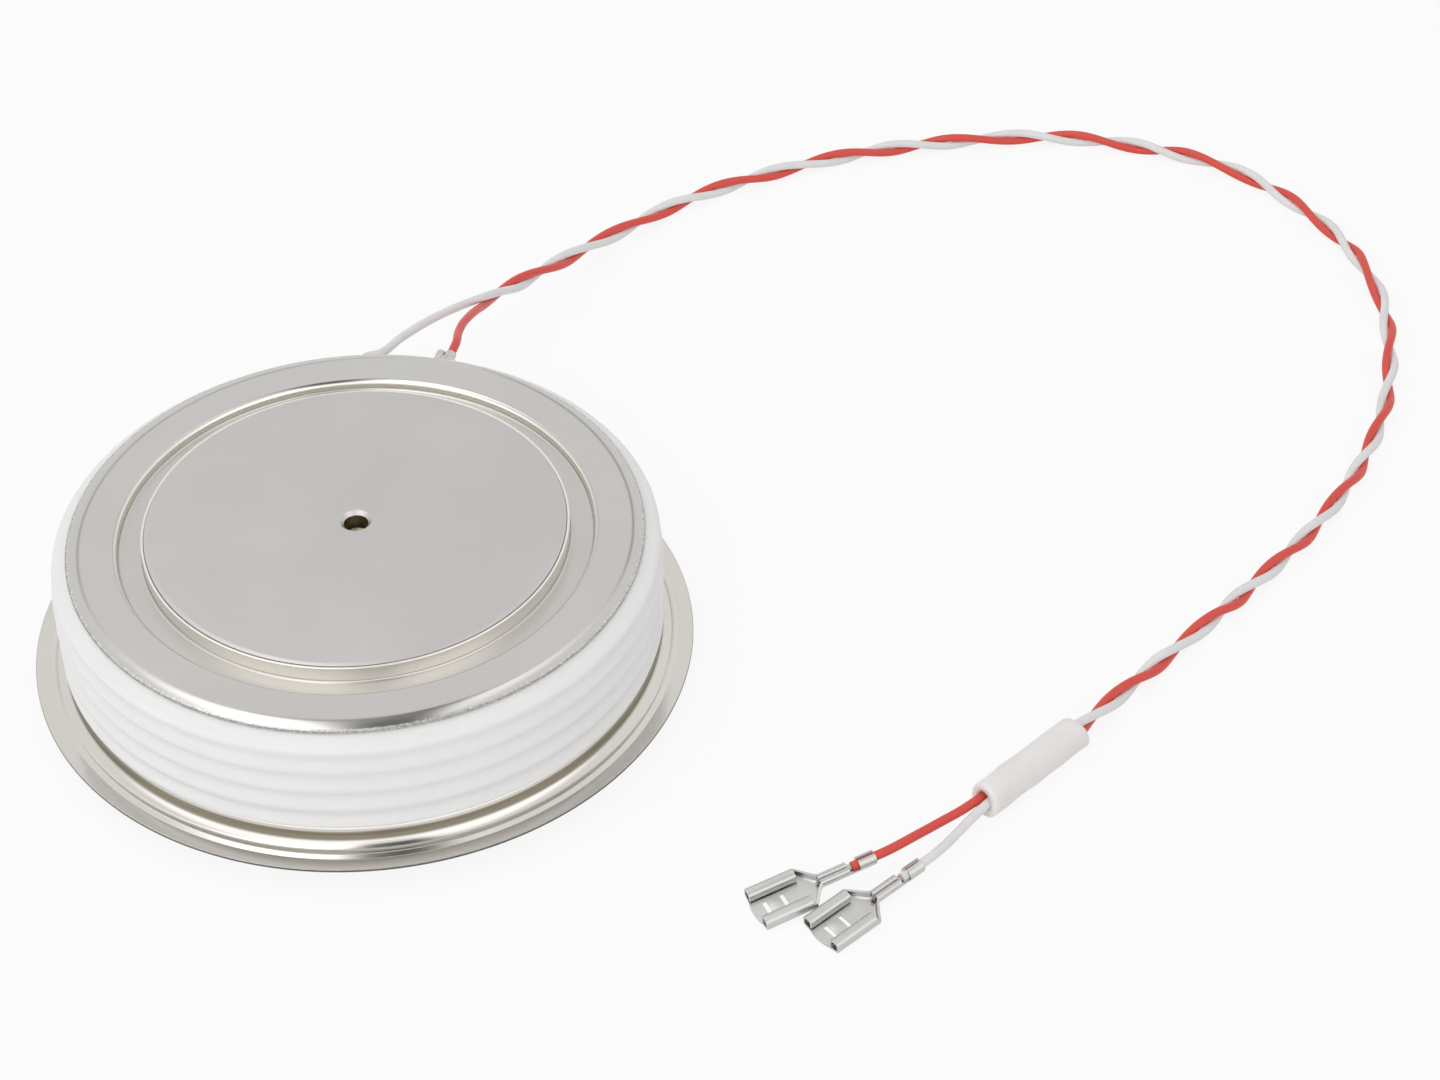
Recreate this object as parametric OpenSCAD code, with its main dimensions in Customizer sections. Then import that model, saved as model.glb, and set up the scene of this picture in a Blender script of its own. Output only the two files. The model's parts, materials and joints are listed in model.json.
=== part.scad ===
// Disc thyristor: a sealed press-contact capsule with a twisted gate and auxiliary cathode lead.
// Z is the capsule's axis and z = 0 is the anode face. All lengths are in millimetres.

/* [Capsule] */
// Height over the two pole faces
capsule_h = 26; // [24:0.5:30]
// Width of the weld flange beyond the ceramic
flange_out = 4.7; // [4.2:0.1:6]
// Height of the weld flange's upper face above the anode face
rim_z = 3.7; // [3.4:0.1:4.2]
// Thickness of the formed flange sheet
sheet_t = 0.4; // [0.35:0.05:0.5]
// Distance of the weld ring's collar inside the ceramic's outline
collar_inset = 0.2; // [0.1:0.1:0.6]
// Distance of the weld ring's inner edge from the ceramic's bore
seat_inset = 1; // [0.5:0.1:2]
// Height of the weld ring's collar above the flange
collar_h = 3.6; // [3:0.1:4.2]
// Distance of the weld bead's crest from the flange's edge
bead_inset = 2.9; // [2.5:0.1:3]
// Width of the weld bead
bead_w = 1.1; // [0.9:0.1:1.2]
// Height of the weld bead
bead_h = 0.25; // [0.15:0.05:0.3]

/* [Pole pieces] */
// Diameter of the flat pole face
pole_face_d = 61.4; // [56:0.2:66]
// Width of the chamfer round the pole face
pole_chamfer_w = 0.6; // [0.4:0.1:1]
// Height of the chamfer round the pole face
pole_chamfer_h = 0.3; // [0.2:0.1:0.8]
// Height of the cathode face above the flat of its flange
pole_proud = 1.5; // [1:0.1:2]
// Diameter of the locating hole in each pole face
hole_d = 3.6; // [3:0.1:4.5]
// Depth of the locating hole to its drill point
hole_depth = 3; // [2:0.1:3.4]
// Chamfer at the mouth of the locating hole
hole_chamfer = 0.6; // [0.3:0.1:0.8]

/* [Formed flanges] */
// Clear width of the trough between the brazing collar and the flange
trough_w = 3.6; // [2.8:0.1:4]
// Depth of the trough below the flange's flat
trough_depth = 1.5; // [1.2:0.1:2]
// Height of the brazing collar that stands round the pole in the trough
trough_collar_h = 2.6; // [2:0.1:2.8]
// Angle through which the cathode flange's edge is rolled down
roll_angle = 26; // [20:1:32]

/* [Ceramic ring] */
// Gap between the trough of the cathode flange and the ceramic's bore
bore_gap = 2.75; // [2:0.05:4]
// Wall of the ceramic at a ridge
ceramic_wall = 6.8; // [6:0.1:7.4]
// Radius of the upper shoulder
shoulder_r = 4.8; // [4:0.1:5.2]
// Radius of the lower edge
edge_r = 0.8; // [0.5:0.1:1]
// Spacing of the creepage grooves
groove_pitch = 3.55; // [3.3:0.05:3.7]
// Depth of the creepage grooves
groove_depth = 0.7; // [0.4:0.1:1]
// Number of creepage grooves
groove_count = 4; // [3:1:4]

/* [Semiconductor stack] */
// Overhang of the silicon wafer beyond the poles
wafer_overhang = 1.7; // [1:0.1:2.4]
// Thickness of the silicon wafer
wafer_t = 0.8; // [0.6:0.1:1]
// Radial width of the wafer's bevelled edge
bevel_w = 1.2; // [0.8:0.1:1.6]
// Thickness of the molybdenum disc under the wafer
anode_disc_t = 2.4; // [2:0.1:2.8]
// Radial width of the coating over the wafer's edge
coating_w = 2.7; // [2:0.1:3.4]
// Thickness of the molybdenum disc on the wafer
cathode_disc_t = 1.2; // [0.8:0.1:1.4]
// Height of the coating over the wafer's surface
coating_h = 0.5; // [0.3:0.1:0.7]
// Height of the ring that centres the wafer
locating_ring_h = 4; // [3:0.1:4.2]

/* [Gate contact] */
// Direction of the gate tube round the axis
gate_angle = 94; // [90:1:98]
// Diameter of the well in the cathode pole
gate_well_d = 9; // [8:0.1:10]
// Diameter of the gate pin
gate_pin_d = 2.4; // [2:0.1:2.8]
// Diameter of the gate pin's head
gate_head_d = 4.8; // [4.2:0.1:5.2]
// Thickness of the gate pin's head
gate_head_t = 0.6; // [0.4:0.1:0.8]
// Height of the gate lead's axis above the disc on the wafer
gate_rise = 1.35; // [1.2:0.05:1.8]
// Thickness of pole left between the well and the locating hole
well_roof_t = 1.2; // [0.8:0.1:1.6]
// Wire diameter of the gate spring
spring_wire_d = 0.4; // [0.3:0.05:0.5]
// Rise of the gate spring in one turn
spring_pitch = 0.6; // [0.5:0.05:0.8]
// Thickness of the gate insulator's roof
insulator_roof_t = 0.7; // [0.5:0.1:1]
// Wire diameter of the inner gate lead
gate_lead_d = 0.8; // [0.6:0.05:0.9]
// Diameter of the insulating sleeve on the inner gate lead
lead_sleeve_d = 1.6; // [1.3:0.1:1.8]

/* [Side tubes] */
// Direction of the auxiliary cathode tube round the axis
cathode_tube_angle = 77.5; // [74:0.5:80]
// Diameter of the tubes through the ceramic
tube_d = 2; // [1.8:0.1:2.4]
// Wall of the tubes through the ceramic
tube_wall = 0.4; // [0.3:0.05:0.5]
// Length of tube that stands out of the ceramic
tube_proud = 2.4; // [2:0.1:3]
// Length of tube that stands into the ceramic's bore
tube_inside = 1; // [0.5:0.1:1.5]
// Wall of the crimped ends
crimp_wall = 0.25; // [0.2:0.05:0.4]
// Length of lead held in a crimped end
crimp_grip = 2.9; // [2:0.1:3.4]
// Thickness of the inner cathode strap
strap_t = 0.3; // [0.2:0.05:0.4]
// Width of the inner cathode strap
strap_w = 3; // [2:0.1:4]

/* [Lead] */
// Diameter of one insulated wire
wire_d = 1.4; // [1.2:0.05:1.4]
// Diameter of the bare conductor
conductor_d = 0.7; // [0.5:0.05:0.7]
// Diameter of the soft sleeve on the pair
sleeve_d = 5.5; // [5:0.1:6]
// Bore of the soft sleeve
sleeve_bore_d = 3.2; // [3.1:0.1:3.6]
// Length of the soft sleeve
sleeve_l = 21; // [19:0.5:23]

/* [Push-on terminals] */
// Width over the rolled sides
terminal_w = 7.5; // [7:0.1:8]
// Height of the rolled sides
roll_h = 2.3; // [2.2:0.1:2.6]
// Length of the rolled receptacle
receptacle_l = 7.9; // [7.4:0.1:8.4]
// Thickness of the terminal's sheet
terminal_t = 0.35; // [0.3:0.05:0.4]
// Opening for the mating tab
tab_gap = 0.9; // [0.85:0.05:1]
// Length of the neck between receptacle and conductor barrel
neck_l = 2.2; // [2:0.1:3]
// Length of the conductor barrel
barrel_l = 4.4; // [3.5:0.1:5]
// Length of the open gap between the barrels
barrel_gap = 1.6; // [1.2:0.1:1.8]
// Length of the insulation barrel
grip_l = 2.7; // [2.4:0.1:3.4]

/* [Hidden] */
$fn = 96;
// Clearances: brazed or crimped, and loose
fit = 0.05;
slip = 0.15;
overcut = 1;
// Steps of the curves in an outline
bend_steps = 6;
groove_steps = 14;
shoulder_steps = 16;

// Radii, from the pole outwards
pole_r = pole_face_d / 2 + pole_chamfer_w;
trough_r = pole_r + fit + sheet_t + trough_w + sheet_t;
ceramic_bore_r = trough_r + bore_gap;
ceramic_r = ceramic_bore_r + ceramic_wall;
flange_r = ceramic_r + flange_out;
wafer_r = pole_r + wafer_overhang;
coating_r = wafer_r - coating_w;
cathode_disc_r = coating_r - 2 * slip;

// Levels
ring_z = capsule_h - pole_proud;
ceramic_top = ring_z - sheet_t;
ceramic_bottom = rim_z + collar_h;
pole_h = (capsule_h - anode_disc_t - wafer_t - cathode_disc_t) / 2;
wafer_z = pole_h + anode_disc_t;
cathode_disc_z = wafer_z + wafer_t;
cathode_pole_z = cathode_disc_z + cathode_disc_t;
drill_point = hole_d / 2 * tan(30);

// Bends of the formed sheet
trough_bend = 0.6;
foot_bend = 1.2;
bead_bend = 0.6;

// Gate levels. The gate tube lies in the second groove, and the auxiliary cathode's in the first
gate_z = cathode_pole_z + gate_rise;
first_groove_z = gate_z + groove_pitch;
head_z = gate_z + gate_lead_d / 2 + slip;
spring_z = head_z + gate_head_t;
well_top = capsule_h - hole_depth - drill_point - well_roof_t;
roof_z = well_top - insulator_roof_t - fit;
insulator_r = gate_well_d / 2 - fit;
insulator_bore_r = gate_head_d / 2 + slip;
lead_slot_w = lead_sleeve_d + 2 * slip;
lead_slot_top = gate_z + lead_slot_w / 2;
disc_hole_d = gate_pin_d + 8 * slip;

// Side tubes and crimped ends
cathode_tube_z = first_groove_z;
tube_start = ceramic_bore_r - tube_inside;
tube_end = ceramic_r + tube_proud;
crimp_start = ceramic_r + 2 * slip;
crimp_end = tube_end + fit + crimp_grip;
crimp_r = tube_d / 2 + fit + crimp_wall;
crimp_bore_d = wire_d + 2 * fit;
lobe_r = crimp_bore_d / 2 + crimp_wall;
strap_z = cathode_tube_z - tube_d / 2 - fit - strap_t / 2;
strap_bend = 0.5;

// Terminal layout along its length, from the mouth towards the wire
roll_r = roll_h / 2;
floor_half_w = terminal_w / 2 - roll_r;
window_w = 0.6;
window_h = 2.2;
window_x = 1.45;
tongue_l = 2.15;
tongue_rise = 0.4;
lip_r = 2;
lip_out = 0.45;
roll_slope = 1.2;
neck_front_w = 6.4;
neck_front_h = 1.4;
barrel_x = receptacle_l + neck_l;
barrel_r = 0.92;
barrel_lobe_r = 0.48;
barrel_lobe_y = 0.44;
barrel_lobe_z = 1.17;
gap_x = barrel_x + barrel_l;
grip_x = gap_x + barrel_gap;
terminal_l = grip_x + grip_l;
grip_bore_r = wire_d / 2 + fit;
grip_wall = 0.3;
grip_slit = 0.8;
wire_z = grip_bore_r + grip_wall;
conductor_z = 0.95;
brush_l = 0.6;
wire_end_x = grip_x - 2 * slip;
keel_h = 0.6;
join_overlap = 0.2;
// Step of the neck and the keel inside the outline of the barrels that they run into
seat_step = 0.05;

// Where the terminals and the soft sleeve lie on the surface. The wires hold the terminals' back ends up
red_terminal_at = [59.2, -54.8];
red_terminal_turn = 25.5;
red_terminal_tilt = 6.5;
white_terminal_at = [68.15, -59.55];
white_terminal_turn = 39.8;
white_terminal_tilt = 4;
sleeve_at = [92, -35.6];
sleeve_turn = 44.5;
sleeve_z = sleeve_d / 2;

// Routes of the wires
join_at = [16.5, 78.5, 10];
join_dir = unit([9, 14, -4]);
join_up = unit([0, 0, 1] - join_dir.z * join_dir);
split_at = [98, -29.7, sleeve_z];
split_dir = [-cos(sleeve_turn), -sin(sleeve_turn), 0];
split_side = [-sin(sleeve_turn), cos(sleeve_turn), 0];
sleeve_mouth = [sleeve_at.x, sleeve_at.y, sleeve_z];
mouth_spread = (wire_d + slip) / 2;
red_lead_route = concat(
    out_of_crimp(cathode_tube_angle, cathode_tube_z),
    [[11.3, 55.5, 18.7], [11.7, 59.5, 17.6], [12.4, 63.3, 16.2], [13.2, 67.7, 14.2], [14.2, 73.1, 11.4]],
    [join_at - wire_d / 2 * join_up]);
white_lead_route = concat(
    out_of_crimp(gate_angle, gate_z),
    [[-1.7, 53.1, 16.3], [1.6, 58, 15.9], [5.3, 63.2, 15.2], [9.4, 68.5, 14], [13.3, 72.5, 13.1]],
    [join_at + wire_d / 2 * join_up]);
pair_route = concat(
    [join_at],
    [[25.5, 92.5, 6], [36, 107, 2.5], [49, 119, 1.5], [63.5, 127, 1.5], [80, 133.5, 1.5],
     [98, 137.5, 1.5], [115.5, 139, 1.5], [133, 135.5, 1.5], [147.5, 129, 1.5], [158.5, 117.5, 1.5],
     [166, 104.5, 1.5], [169.5, 90.5, 1.5], [169, 74.5, 1.5], [165.5, 58, 1.5], [159, 42.5, 1.5],
     [150, 28, 1.5], [138.5, 14, 1.5], [125.5, 0, 1.5], [114.5, -11.8, 1.7], [106.5, -21.2, 2.7]],
    [split_at]);
red_tail_route = concat(
    [split_at + wire_d / 2 * split_side],
    [sleeve_mouth + mouth_spread * split_side],
    [[89.3, -37, 2.8], [85.8, -39.7, 2.9], [82.6, -42.2, 3.1]],
    into_terminal(red_terminal_at, red_terminal_turn, red_terminal_tilt));
white_tail_route = concat(
    [split_at - wire_d / 2 * split_side],
    [sleeve_mouth - mouth_spread * split_side],
    [[90.4, -38.6, 2.6], [88.5, -41, 2.5], [86.4, -43.7, 2.5]],
    into_terminal(white_terminal_at, white_terminal_turn, white_terminal_tilt));
cord_sides = 8;

// Vectors and places

function unit(v) = v / norm(v);
function left_of(v) = [-v.y, v.x];
function turned(v, a) = [v.x * cos(a) - v.y * sin(a), v.x * sin(a) + v.y * cos(a)];
function radial(angle, r, z) = [r * cos(angle), r * sin(angle), z];
function out_of_crimp(angle, z) =
    [for (r = [tube_end + fit, crimp_end, crimp_end + wire_d]) radial(angle, r, z)];
function terminal_lift(tilt) = lip_out * sin(tilt);
function terminal_dir(turn, tilt) = [cos(turn) * cos(tilt), sin(turn) * cos(tilt), sin(tilt)];
function terminal_up(turn, tilt) = [-cos(turn) * sin(tilt), -sin(turn) * sin(tilt), cos(tilt)];
function into_terminal(at, turn, tilt) =
    [for (x = [terminal_l + wire_d, terminal_l, grip_x, wire_end_x])
        [at.x, at.y, terminal_lift(tilt)] + x * terminal_dir(turn, tilt) + wire_z * terminal_up(turn, tilt)];
function arc(centre, r, from, to, steps) =
    [for (i = [0:steps]) let (a = from + (to - from) * i / steps) centre + r * [cos(a), sin(a)]];

// Section of a formed sheet: a middle line with a bend at each inner point, drawn to its thickness

function bend_side(a, b, c, bend, side) =
    let (into = unit(b - a), out = unit(c - b),
         turn = atan2(into.x * out.y - into.y * out.x, into * out), way = sign(turn),
         start = b - into * bend * tan(abs(turn) / 2),
         centre = start + way * bend * left_of(into))
    [for (i = [0:bend_steps])
        centre - way * (bend - way * side) * turned(left_of(into), turn * i / bend_steps)];
function sheet_side(line, bends, side) =
    let (last = len(line) - 1)
    concat(
        [line[0] + side * left_of(unit(line[1] - line[0]))],
        [for (i = [1:last - 1]) each bend_side(line[i - 1], line[i], line[i + 1], bends[i - 1], side)],
        [line[last] + side * left_of(unit(line[last] - line[last - 1]))]);
function reversed(list) = [for (i = [len(list) - 1:-1:0]) list[i]];
function sheet_section(line, bends, t) =
    concat(sheet_side(line, bends, t / 2), reversed(sheet_side(line, bends, -t / 2)));

// Wires: a smooth line through the route's points, and rings square to it

function smooth(a, b, c, d, t) =
    (2 * b + (c - a) * t + (2 * a - 5 * b + 4 * c - d) * t * t + (3 * b - a - 3 * c + d) * t * t * t) / 2;
function smooth_route(points, start_dir, end_dir, rings) =
    let (last = len(points) - 1,
         before = points[1] - 2 * norm(points[1] - points[0]) * start_dir,
         after = points[last - 1] + 2 * norm(points[last] - points[last - 1]) * end_dir,
         all = concat([before], points, [after]))
    concat(
        [for (i = [0:last - 1], k = [0:rings - 1])
            smooth(all[i], all[i + 1], all[i + 2], all[i + 3], k / rings)],
        [points[last]]);
function ring(centre, dir, r) =
    let (side = unit(cross([0, 0, 1], dir)), up = cross(dir, side))
    [for (i = [0:cord_sides - 1])
        let (a = 360 * (i + 0.5) / cord_sides) centre + r * (cos(a) * side + sin(a) * up)];
function line_dir(line, i) = unit(line[min(i + 1, len(line) - 1)] - line[max(i - 1, 0)]);

module tube_along(line, r, start_dir, end_dir) {
    last = len(line) - 1;
    dirs = [for (i = [0:last]) i == 0 ? start_dir : i == last ? end_dir : line_dir(line, i)];
    points = [for (i = [0:last]) each ring(line[i], dirs[i], r)];
    n = cord_sides;
    walls = [for (i = [0:last - 1], k = [0:n - 1])
        [i * n + k, (i + 1) * n + k, (i + 1) * n + (k + 1) % n, i * n + (k + 1) % n]];
    caps = [[for (k = [0:n - 1]) k], [for (k = [n - 1:-1:0]) last * n + k]];
    polyhedron(points, concat(walls, caps), convexity = 10);
}

module wire_along(route, d, start_dir, end_dir, rings = 1)
    tube_along(smooth_route(route, start_dir, end_dir, rings), d / 2, start_dir, end_dir);

// Capsule body

function groove_at(z) =
    let (from_first = (first_groove_z - z) / groove_pitch)
    from_first < -0.5 || from_first > groove_count - 0.5 ? 0 :
    groove_depth / 2 * (1 + cos(360 * from_first));
function grooved(points) = [for (p = points) [p.x - groove_at(p.y), p.y]];
function ceramic_section() =
    let (wall_from = ceramic_bottom + edge_r, wall_to = ceramic_top - shoulder_r,
         steps = ceil((wall_to - wall_from) / groove_pitch * groove_steps))
    concat(
        [[ceramic_bore_r, ceramic_top], [ceramic_bore_r, ceramic_bottom]],
        grooved(arc([ceramic_r - edge_r, wall_from], edge_r, -90, 0, bend_steps)),
        grooved([for (i = [1:steps - 1]) [ceramic_r, wall_from + (wall_to - wall_from) * i / steps]]),
        grooved(arc([ceramic_r - shoulder_r, wall_to], shoulder_r, 0, 90, shoulder_steps)));

module radial_cylinder(angle, z, from, to, d)
    rotate([0, 0, angle]) translate([from, 0, z]) rotate([0, 90, 0]) cylinder(h = to - from, d = d);

module ceramic_ring() color("white")
    difference() {
        rotate_extrude() polygon(ceramic_section());
        for (side = [[gate_angle, gate_z], [cathode_tube_angle, cathode_tube_z]])
            radial_cylinder(side[0], side[1], ceramic_bore_r - overcut, ceramic_r + overcut, tube_d + 2 * fit);
    }

module locating_hole() {
    translate([0, 0, -overcut]) cylinder(h = hole_depth + overcut, d = hole_d);
    translate([0, 0, hole_depth]) cylinder(h = drill_point, d1 = hole_d, d2 = 0);
    translate([0, 0, -overcut])
        cylinder(h = hole_chamfer + overcut, d1 = hole_d + 2 * (hole_chamfer + overcut), d2 = hole_d);
}

module pole_blank()
    difference() {
        rotate_extrude() polygon([[0, 0], [pole_face_d / 2, 0], [pole_r, pole_chamfer_h],
            [pole_r, pole_h], [0, pole_h]]);
        locating_hole();
    }

module anode_pole() color("silver") pole_blank();

module cathode_pole() color("silver")
    difference() {
        translate([0, 0, capsule_h]) mirror([0, 0, 1]) pole_blank();
        translate([0, 0, cathode_pole_z - overcut])
            cylinder(h = well_top - cathode_pole_z + overcut, d = gate_well_d);
        rotate([0, 0, gate_angle]) translate([0, -lead_slot_w / 2, cathode_pole_z - overcut])
            cube([pole_r + overcut, lead_slot_w, lead_slot_top - cathode_pole_z + overcut]);
    }

// Middle line of a flange from its collar on the pole, through the trough, to its flat
function trough_line(flat_z, way) =
    let (wall_r = trough_r - sheet_t / 2, floor_z = flat_z - way * trough_depth)
    [[pole_r + fit + sheet_t / 2, floor_z + way * (sheet_t / 2 + trough_collar_h)],
     [pole_r + fit + sheet_t / 2, floor_z], [wall_r, floor_z], [wall_r, flat_z]];

module cathode_flange() color("gainsboro") {
    flat_z = ring_z - sheet_t / 2;
    bend = shoulder_r + fit + sheet_t / 2;
    corner_r = ceramic_r - shoulder_r + 3 * fit + bend * tan(roll_angle / 2);
    lip = bend * tan(roll_angle / 2) + fit;
    line = concat(trough_line(flat_z, 1),
        [[corner_r, flat_z], [corner_r, flat_z] + lip * [cos(roll_angle), -sin(roll_angle)]]);
    rotate_extrude() polygon(sheet_section(line, [trough_bend, trough_bend, trough_bend, bend], sheet_t));
}

module weld_ring() color("gainsboro") {
    seat_z = ceramic_bottom - sheet_t / 2;
    flat_z = rim_z - sheet_t / 2;
    wall_r = ceramic_r - collar_inset - sheet_t / 2;
    crest_r = flange_r - bead_inset;
    line = [[ceramic_bore_r + seat_inset, seat_z], [wall_r, seat_z], [wall_r, flat_z],
        [crest_r - bead_w / 2, flat_z], [crest_r, flat_z + bead_h], [crest_r + bead_w / 2, flat_z],
        [flange_r, flat_z]];
    rotate_extrude()
        polygon(sheet_section(line, [trough_bend, foot_bend, bead_bend, bead_bend, bead_bend], sheet_t));
}

module anode_flange() color("gainsboro") {
    flat_z = rim_z - sheet_t * 3 / 2;
    line = concat(trough_line(flat_z, -1), [[flange_r, flat_z]]);
    rotate_extrude() polygon(sheet_section(line, [trough_bend, trough_bend, trough_bend], sheet_t));
}

// Semiconductor stack

module anode_disc() color("dimgray")
    translate([0, 0, pole_h]) cylinder(h = anode_disc_t, r = wafer_r);

module silicon_wafer() color("slategray")
    rotate_extrude() polygon([[0, wafer_z], [wafer_r, wafer_z], [wafer_r - bevel_w, cathode_disc_z],
        [0, cathode_disc_z]]);

module junction_coating() color("mistyrose")
    rotate_extrude() polygon([[wafer_r, wafer_z], [wafer_r, cathode_disc_z + coating_h],
        [coating_r, cathode_disc_z + coating_h], [coating_r, cathode_disc_z],
        [wafer_r - bevel_w, cathode_disc_z]]);

module cathode_disc() color("dimgray")
    translate([0, 0, cathode_disc_z]) difference() {
        cylinder(h = cathode_disc_t, r = cathode_disc_r);
        translate([0, 0, -overcut]) cylinder(h = cathode_disc_t + 2 * overcut, d = disc_hole_d);
    }

module locating_ring() color("ivory")
    translate([0, 0, cathode_disc_z + coating_h - locating_ring_h]) difference() {
        cylinder(h = locating_ring_h, r = ceramic_bore_r - slip);
        translate([0, 0, -overcut]) cylinder(h = locating_ring_h + 2 * overcut, r = wafer_r + slip);
    }

// Gate contact

module gate_pin() color("goldenrod") {
    translate([0, 0, cathode_disc_z]) cylinder(h = head_z - cathode_disc_z, d = gate_pin_d);
    translate([0, 0, head_z]) cylinder(h = gate_head_t, d = gate_head_d);
}

module gate_spring() color("darkgray") {
    steps_per_turn = 16;
    coil_r = (gate_head_d - spring_wire_d) / 2 - slip;
    rise = roof_z - spring_z - spring_wire_d - 2 * fit;
    steps = ceil(rise / spring_pitch * steps_per_turn);
    coil = [for (i = [0:steps])
        radial(360 * i / steps_per_turn, coil_r, spring_z + fit + spring_wire_d / 2 + rise * i / steps)];
    tube_along(coil, spring_wire_d / 2, line_dir(coil, 0), line_dir(coil, steps));
}

module gate_insulator() color("white")
    difference() {
        translate([0, 0, cathode_pole_z + fit])
            cylinder(h = well_top - cathode_pole_z - 2 * fit, r = insulator_r);
        translate([0, 0, cathode_pole_z - overcut])
            cylinder(h = roof_z - cathode_pole_z + overcut, r = insulator_bore_r);
        rotate([0, 0, gate_angle]) translate([0, -lead_slot_w / 2, cathode_pole_z - overcut])
            cube([gate_well_d, lead_slot_w, lead_slot_top - cathode_pole_z + overcut]);
    }

module gate_lead() color("silver")
    radial_cylinder(gate_angle, gate_z, gate_pin_d / 2 + fit, tube_end, gate_lead_d);

module gate_lead_sleeve() color("white")
    difference() {
        radial_cylinder(gate_angle, gate_z, insulator_bore_r, tube_start - fit, lead_sleeve_d);
        radial_cylinder(gate_angle, gate_z, gate_pin_d / 2, tube_start + overcut, gate_lead_d + 2 * fit);
    }

// Tubes through the ceramic, and the crimped ends that hold the wires

module side_tube(angle, z)
    difference() {
        radial_cylinder(angle, z, tube_start, tube_end, tube_d);
        radial_cylinder(angle, z, tube_start - overcut, tube_end + overcut, tube_d - 2 * tube_wall);
    }

module gate_tube() color("silver") side_tube(gate_angle, gate_z);

module cathode_tube() color("silver") side_tube(cathode_tube_angle, cathode_tube_z);

module gate_crimp() color("silver")
    difference() {
        radial_cylinder(gate_angle, gate_z, crimp_start, crimp_end, 2 * crimp_r);
        radial_cylinder(gate_angle, gate_z, crimp_start - overcut, tube_end + fit, tube_d + 2 * fit);
        radial_cylinder(gate_angle, gate_z, crimp_start, crimp_end + overcut, crimp_bore_d);
    }

// The auxiliary cathode's crimp is pinched into two lobes beyond the tube, with the wire in one of them
module cathode_crimp() color("silver")
    rotate([0, 0, cathode_tube_angle]) translate([0, 0, cathode_tube_z]) rotate([0, 90, 0]) difference() {
        union() {
            translate([0, 0, crimp_start]) cylinder(h = tube_end + fit - crimp_start, r = crimp_r);
            for (y = [0, 2 * lobe_r - crimp_wall])
                translate([0, y, tube_end]) cylinder(h = crimp_end - tube_end, r = lobe_r);
        }
        translate([0, 0, crimp_start - overcut])
            cylinder(h = tube_end + fit - crimp_start + overcut, d = tube_d + 2 * fit);
        for (y = [0, 2 * lobe_r - crimp_wall])
            translate([0, y, y > 0 ? tube_end + 2 * crimp_wall : tube_end])
                cylinder(h = crimp_end, d = crimp_bore_d);
    }

module cathode_strap() color("silver") {
    leg_r = pole_r + fit + strap_t / 2;
    line = [[leg_r, cathode_tube_z + tube_d / 2], [leg_r, strap_z], [ceramic_bore_r - 2 * slip, strap_z]];
    rotate([0, 0, cathode_tube_angle]) rotate([90, 0, 0])
        linear_extrude(strap_w, center = true) polygon(sheet_section(line, [strap_bend], strap_t));
}

// Wires and their sleeve

module red_lead() color("firebrick")
    wire_along(red_lead_route, wire_d, radial(cathode_tube_angle, 1, 0), join_dir);

module white_lead() color("whitesmoke")
    wire_along(white_lead_route, wire_d, radial(gate_angle, 1, 0), join_dir);

module twisted_pair() color("indianred") wire_along(pair_route, 2 * wire_d, join_dir, split_dir, 2);

module red_tail() color("firebrick")
    wire_along(red_tail_route, wire_d, split_dir, -terminal_dir(red_terminal_turn, red_terminal_tilt));

module white_tail() color("whitesmoke")
    wire_along(white_tail_route, wire_d, split_dir, -terminal_dir(white_terminal_turn, white_terminal_tilt));

module wire_sleeve() color("linen")
    translate([sleeve_at.x, sleeve_at.y, sleeve_z]) rotate([0, 0, sleeve_turn]) rotate([0, 90, 0])
        difference() {
            cylinder(h = sleeve_l, d = sleeve_d);
            translate([0, 0, -overcut]) cylinder(h = sleeve_l + 2 * overcut, d = sleeve_bore_d);
        }

// Push-on terminal, lying along X with its mouth at the origin

module along(from, length) translate([from, 0, 0]) rotate([90, 0, 90]) linear_extrude(length) children();

module receptacle_section() {
    translate([-floor_half_w, 0]) square([2 * floor_half_w, terminal_t]);
    for (side = [0, 1])
        mirror([side, 0]) translate([floor_half_w, roll_r]) difference() {
            circle(roll_r);
            circle(roll_r - terminal_t);
            translate([-roll_h, -roll_h]) square([roll_h, roll_h - roll_r + terminal_t + tab_gap]);
        }
}

module tongue_section() {
    inner_r = (pow(window_h / 2, 2) + pow(tongue_rise, 2)) / (2 * tongue_rise);
    intersection() {
        translate([0, tongue_rise - inner_r]) difference() {
            circle(inner_r + terminal_t);
            circle(inner_r);
        }
        translate([-window_h / 2, 0]) square([window_h, roll_h]);
    }
}

module receptacle() {
    cut_l = 2 * window_w + tongue_l;
    difference() {
        union() {
            along(0, receptacle_l) receptacle_section();
            linear_extrude(terminal_t) intersection() {
                translate([lip_r - lip_out, 0]) circle(lip_r);
                translate([-lip_r, -floor_half_w]) square([lip_r + window_w, 2 * floor_half_w]);
            }
        }
        translate([window_x, -window_h / 2, -overcut]) cube([cut_l, window_h, terminal_t + 2 * overcut]);
        translate([0, terminal_w, 0]) rotate([90, 0, 0]) linear_extrude(2 * terminal_w)
            polygon([[receptacle_l - roll_slope, roll_h + fit], [receptacle_l + overcut, roll_h + fit],
                [receptacle_l + overcut, terminal_t + tab_gap], [receptacle_l, terminal_t + tab_gap]]);
    }
    along(window_x + window_w, tongue_l) tongue_section();
}

function trough_outline(w, h, r, lift) = concat(
    [[-w / 2, h]],
    arc([r - w / 2, r + lift], r, 180, 270, bend_steps),
    arc([w / 2 - r, r + lift], r, 270, 360, bend_steps),
    [[w / 2, h]]);

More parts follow.
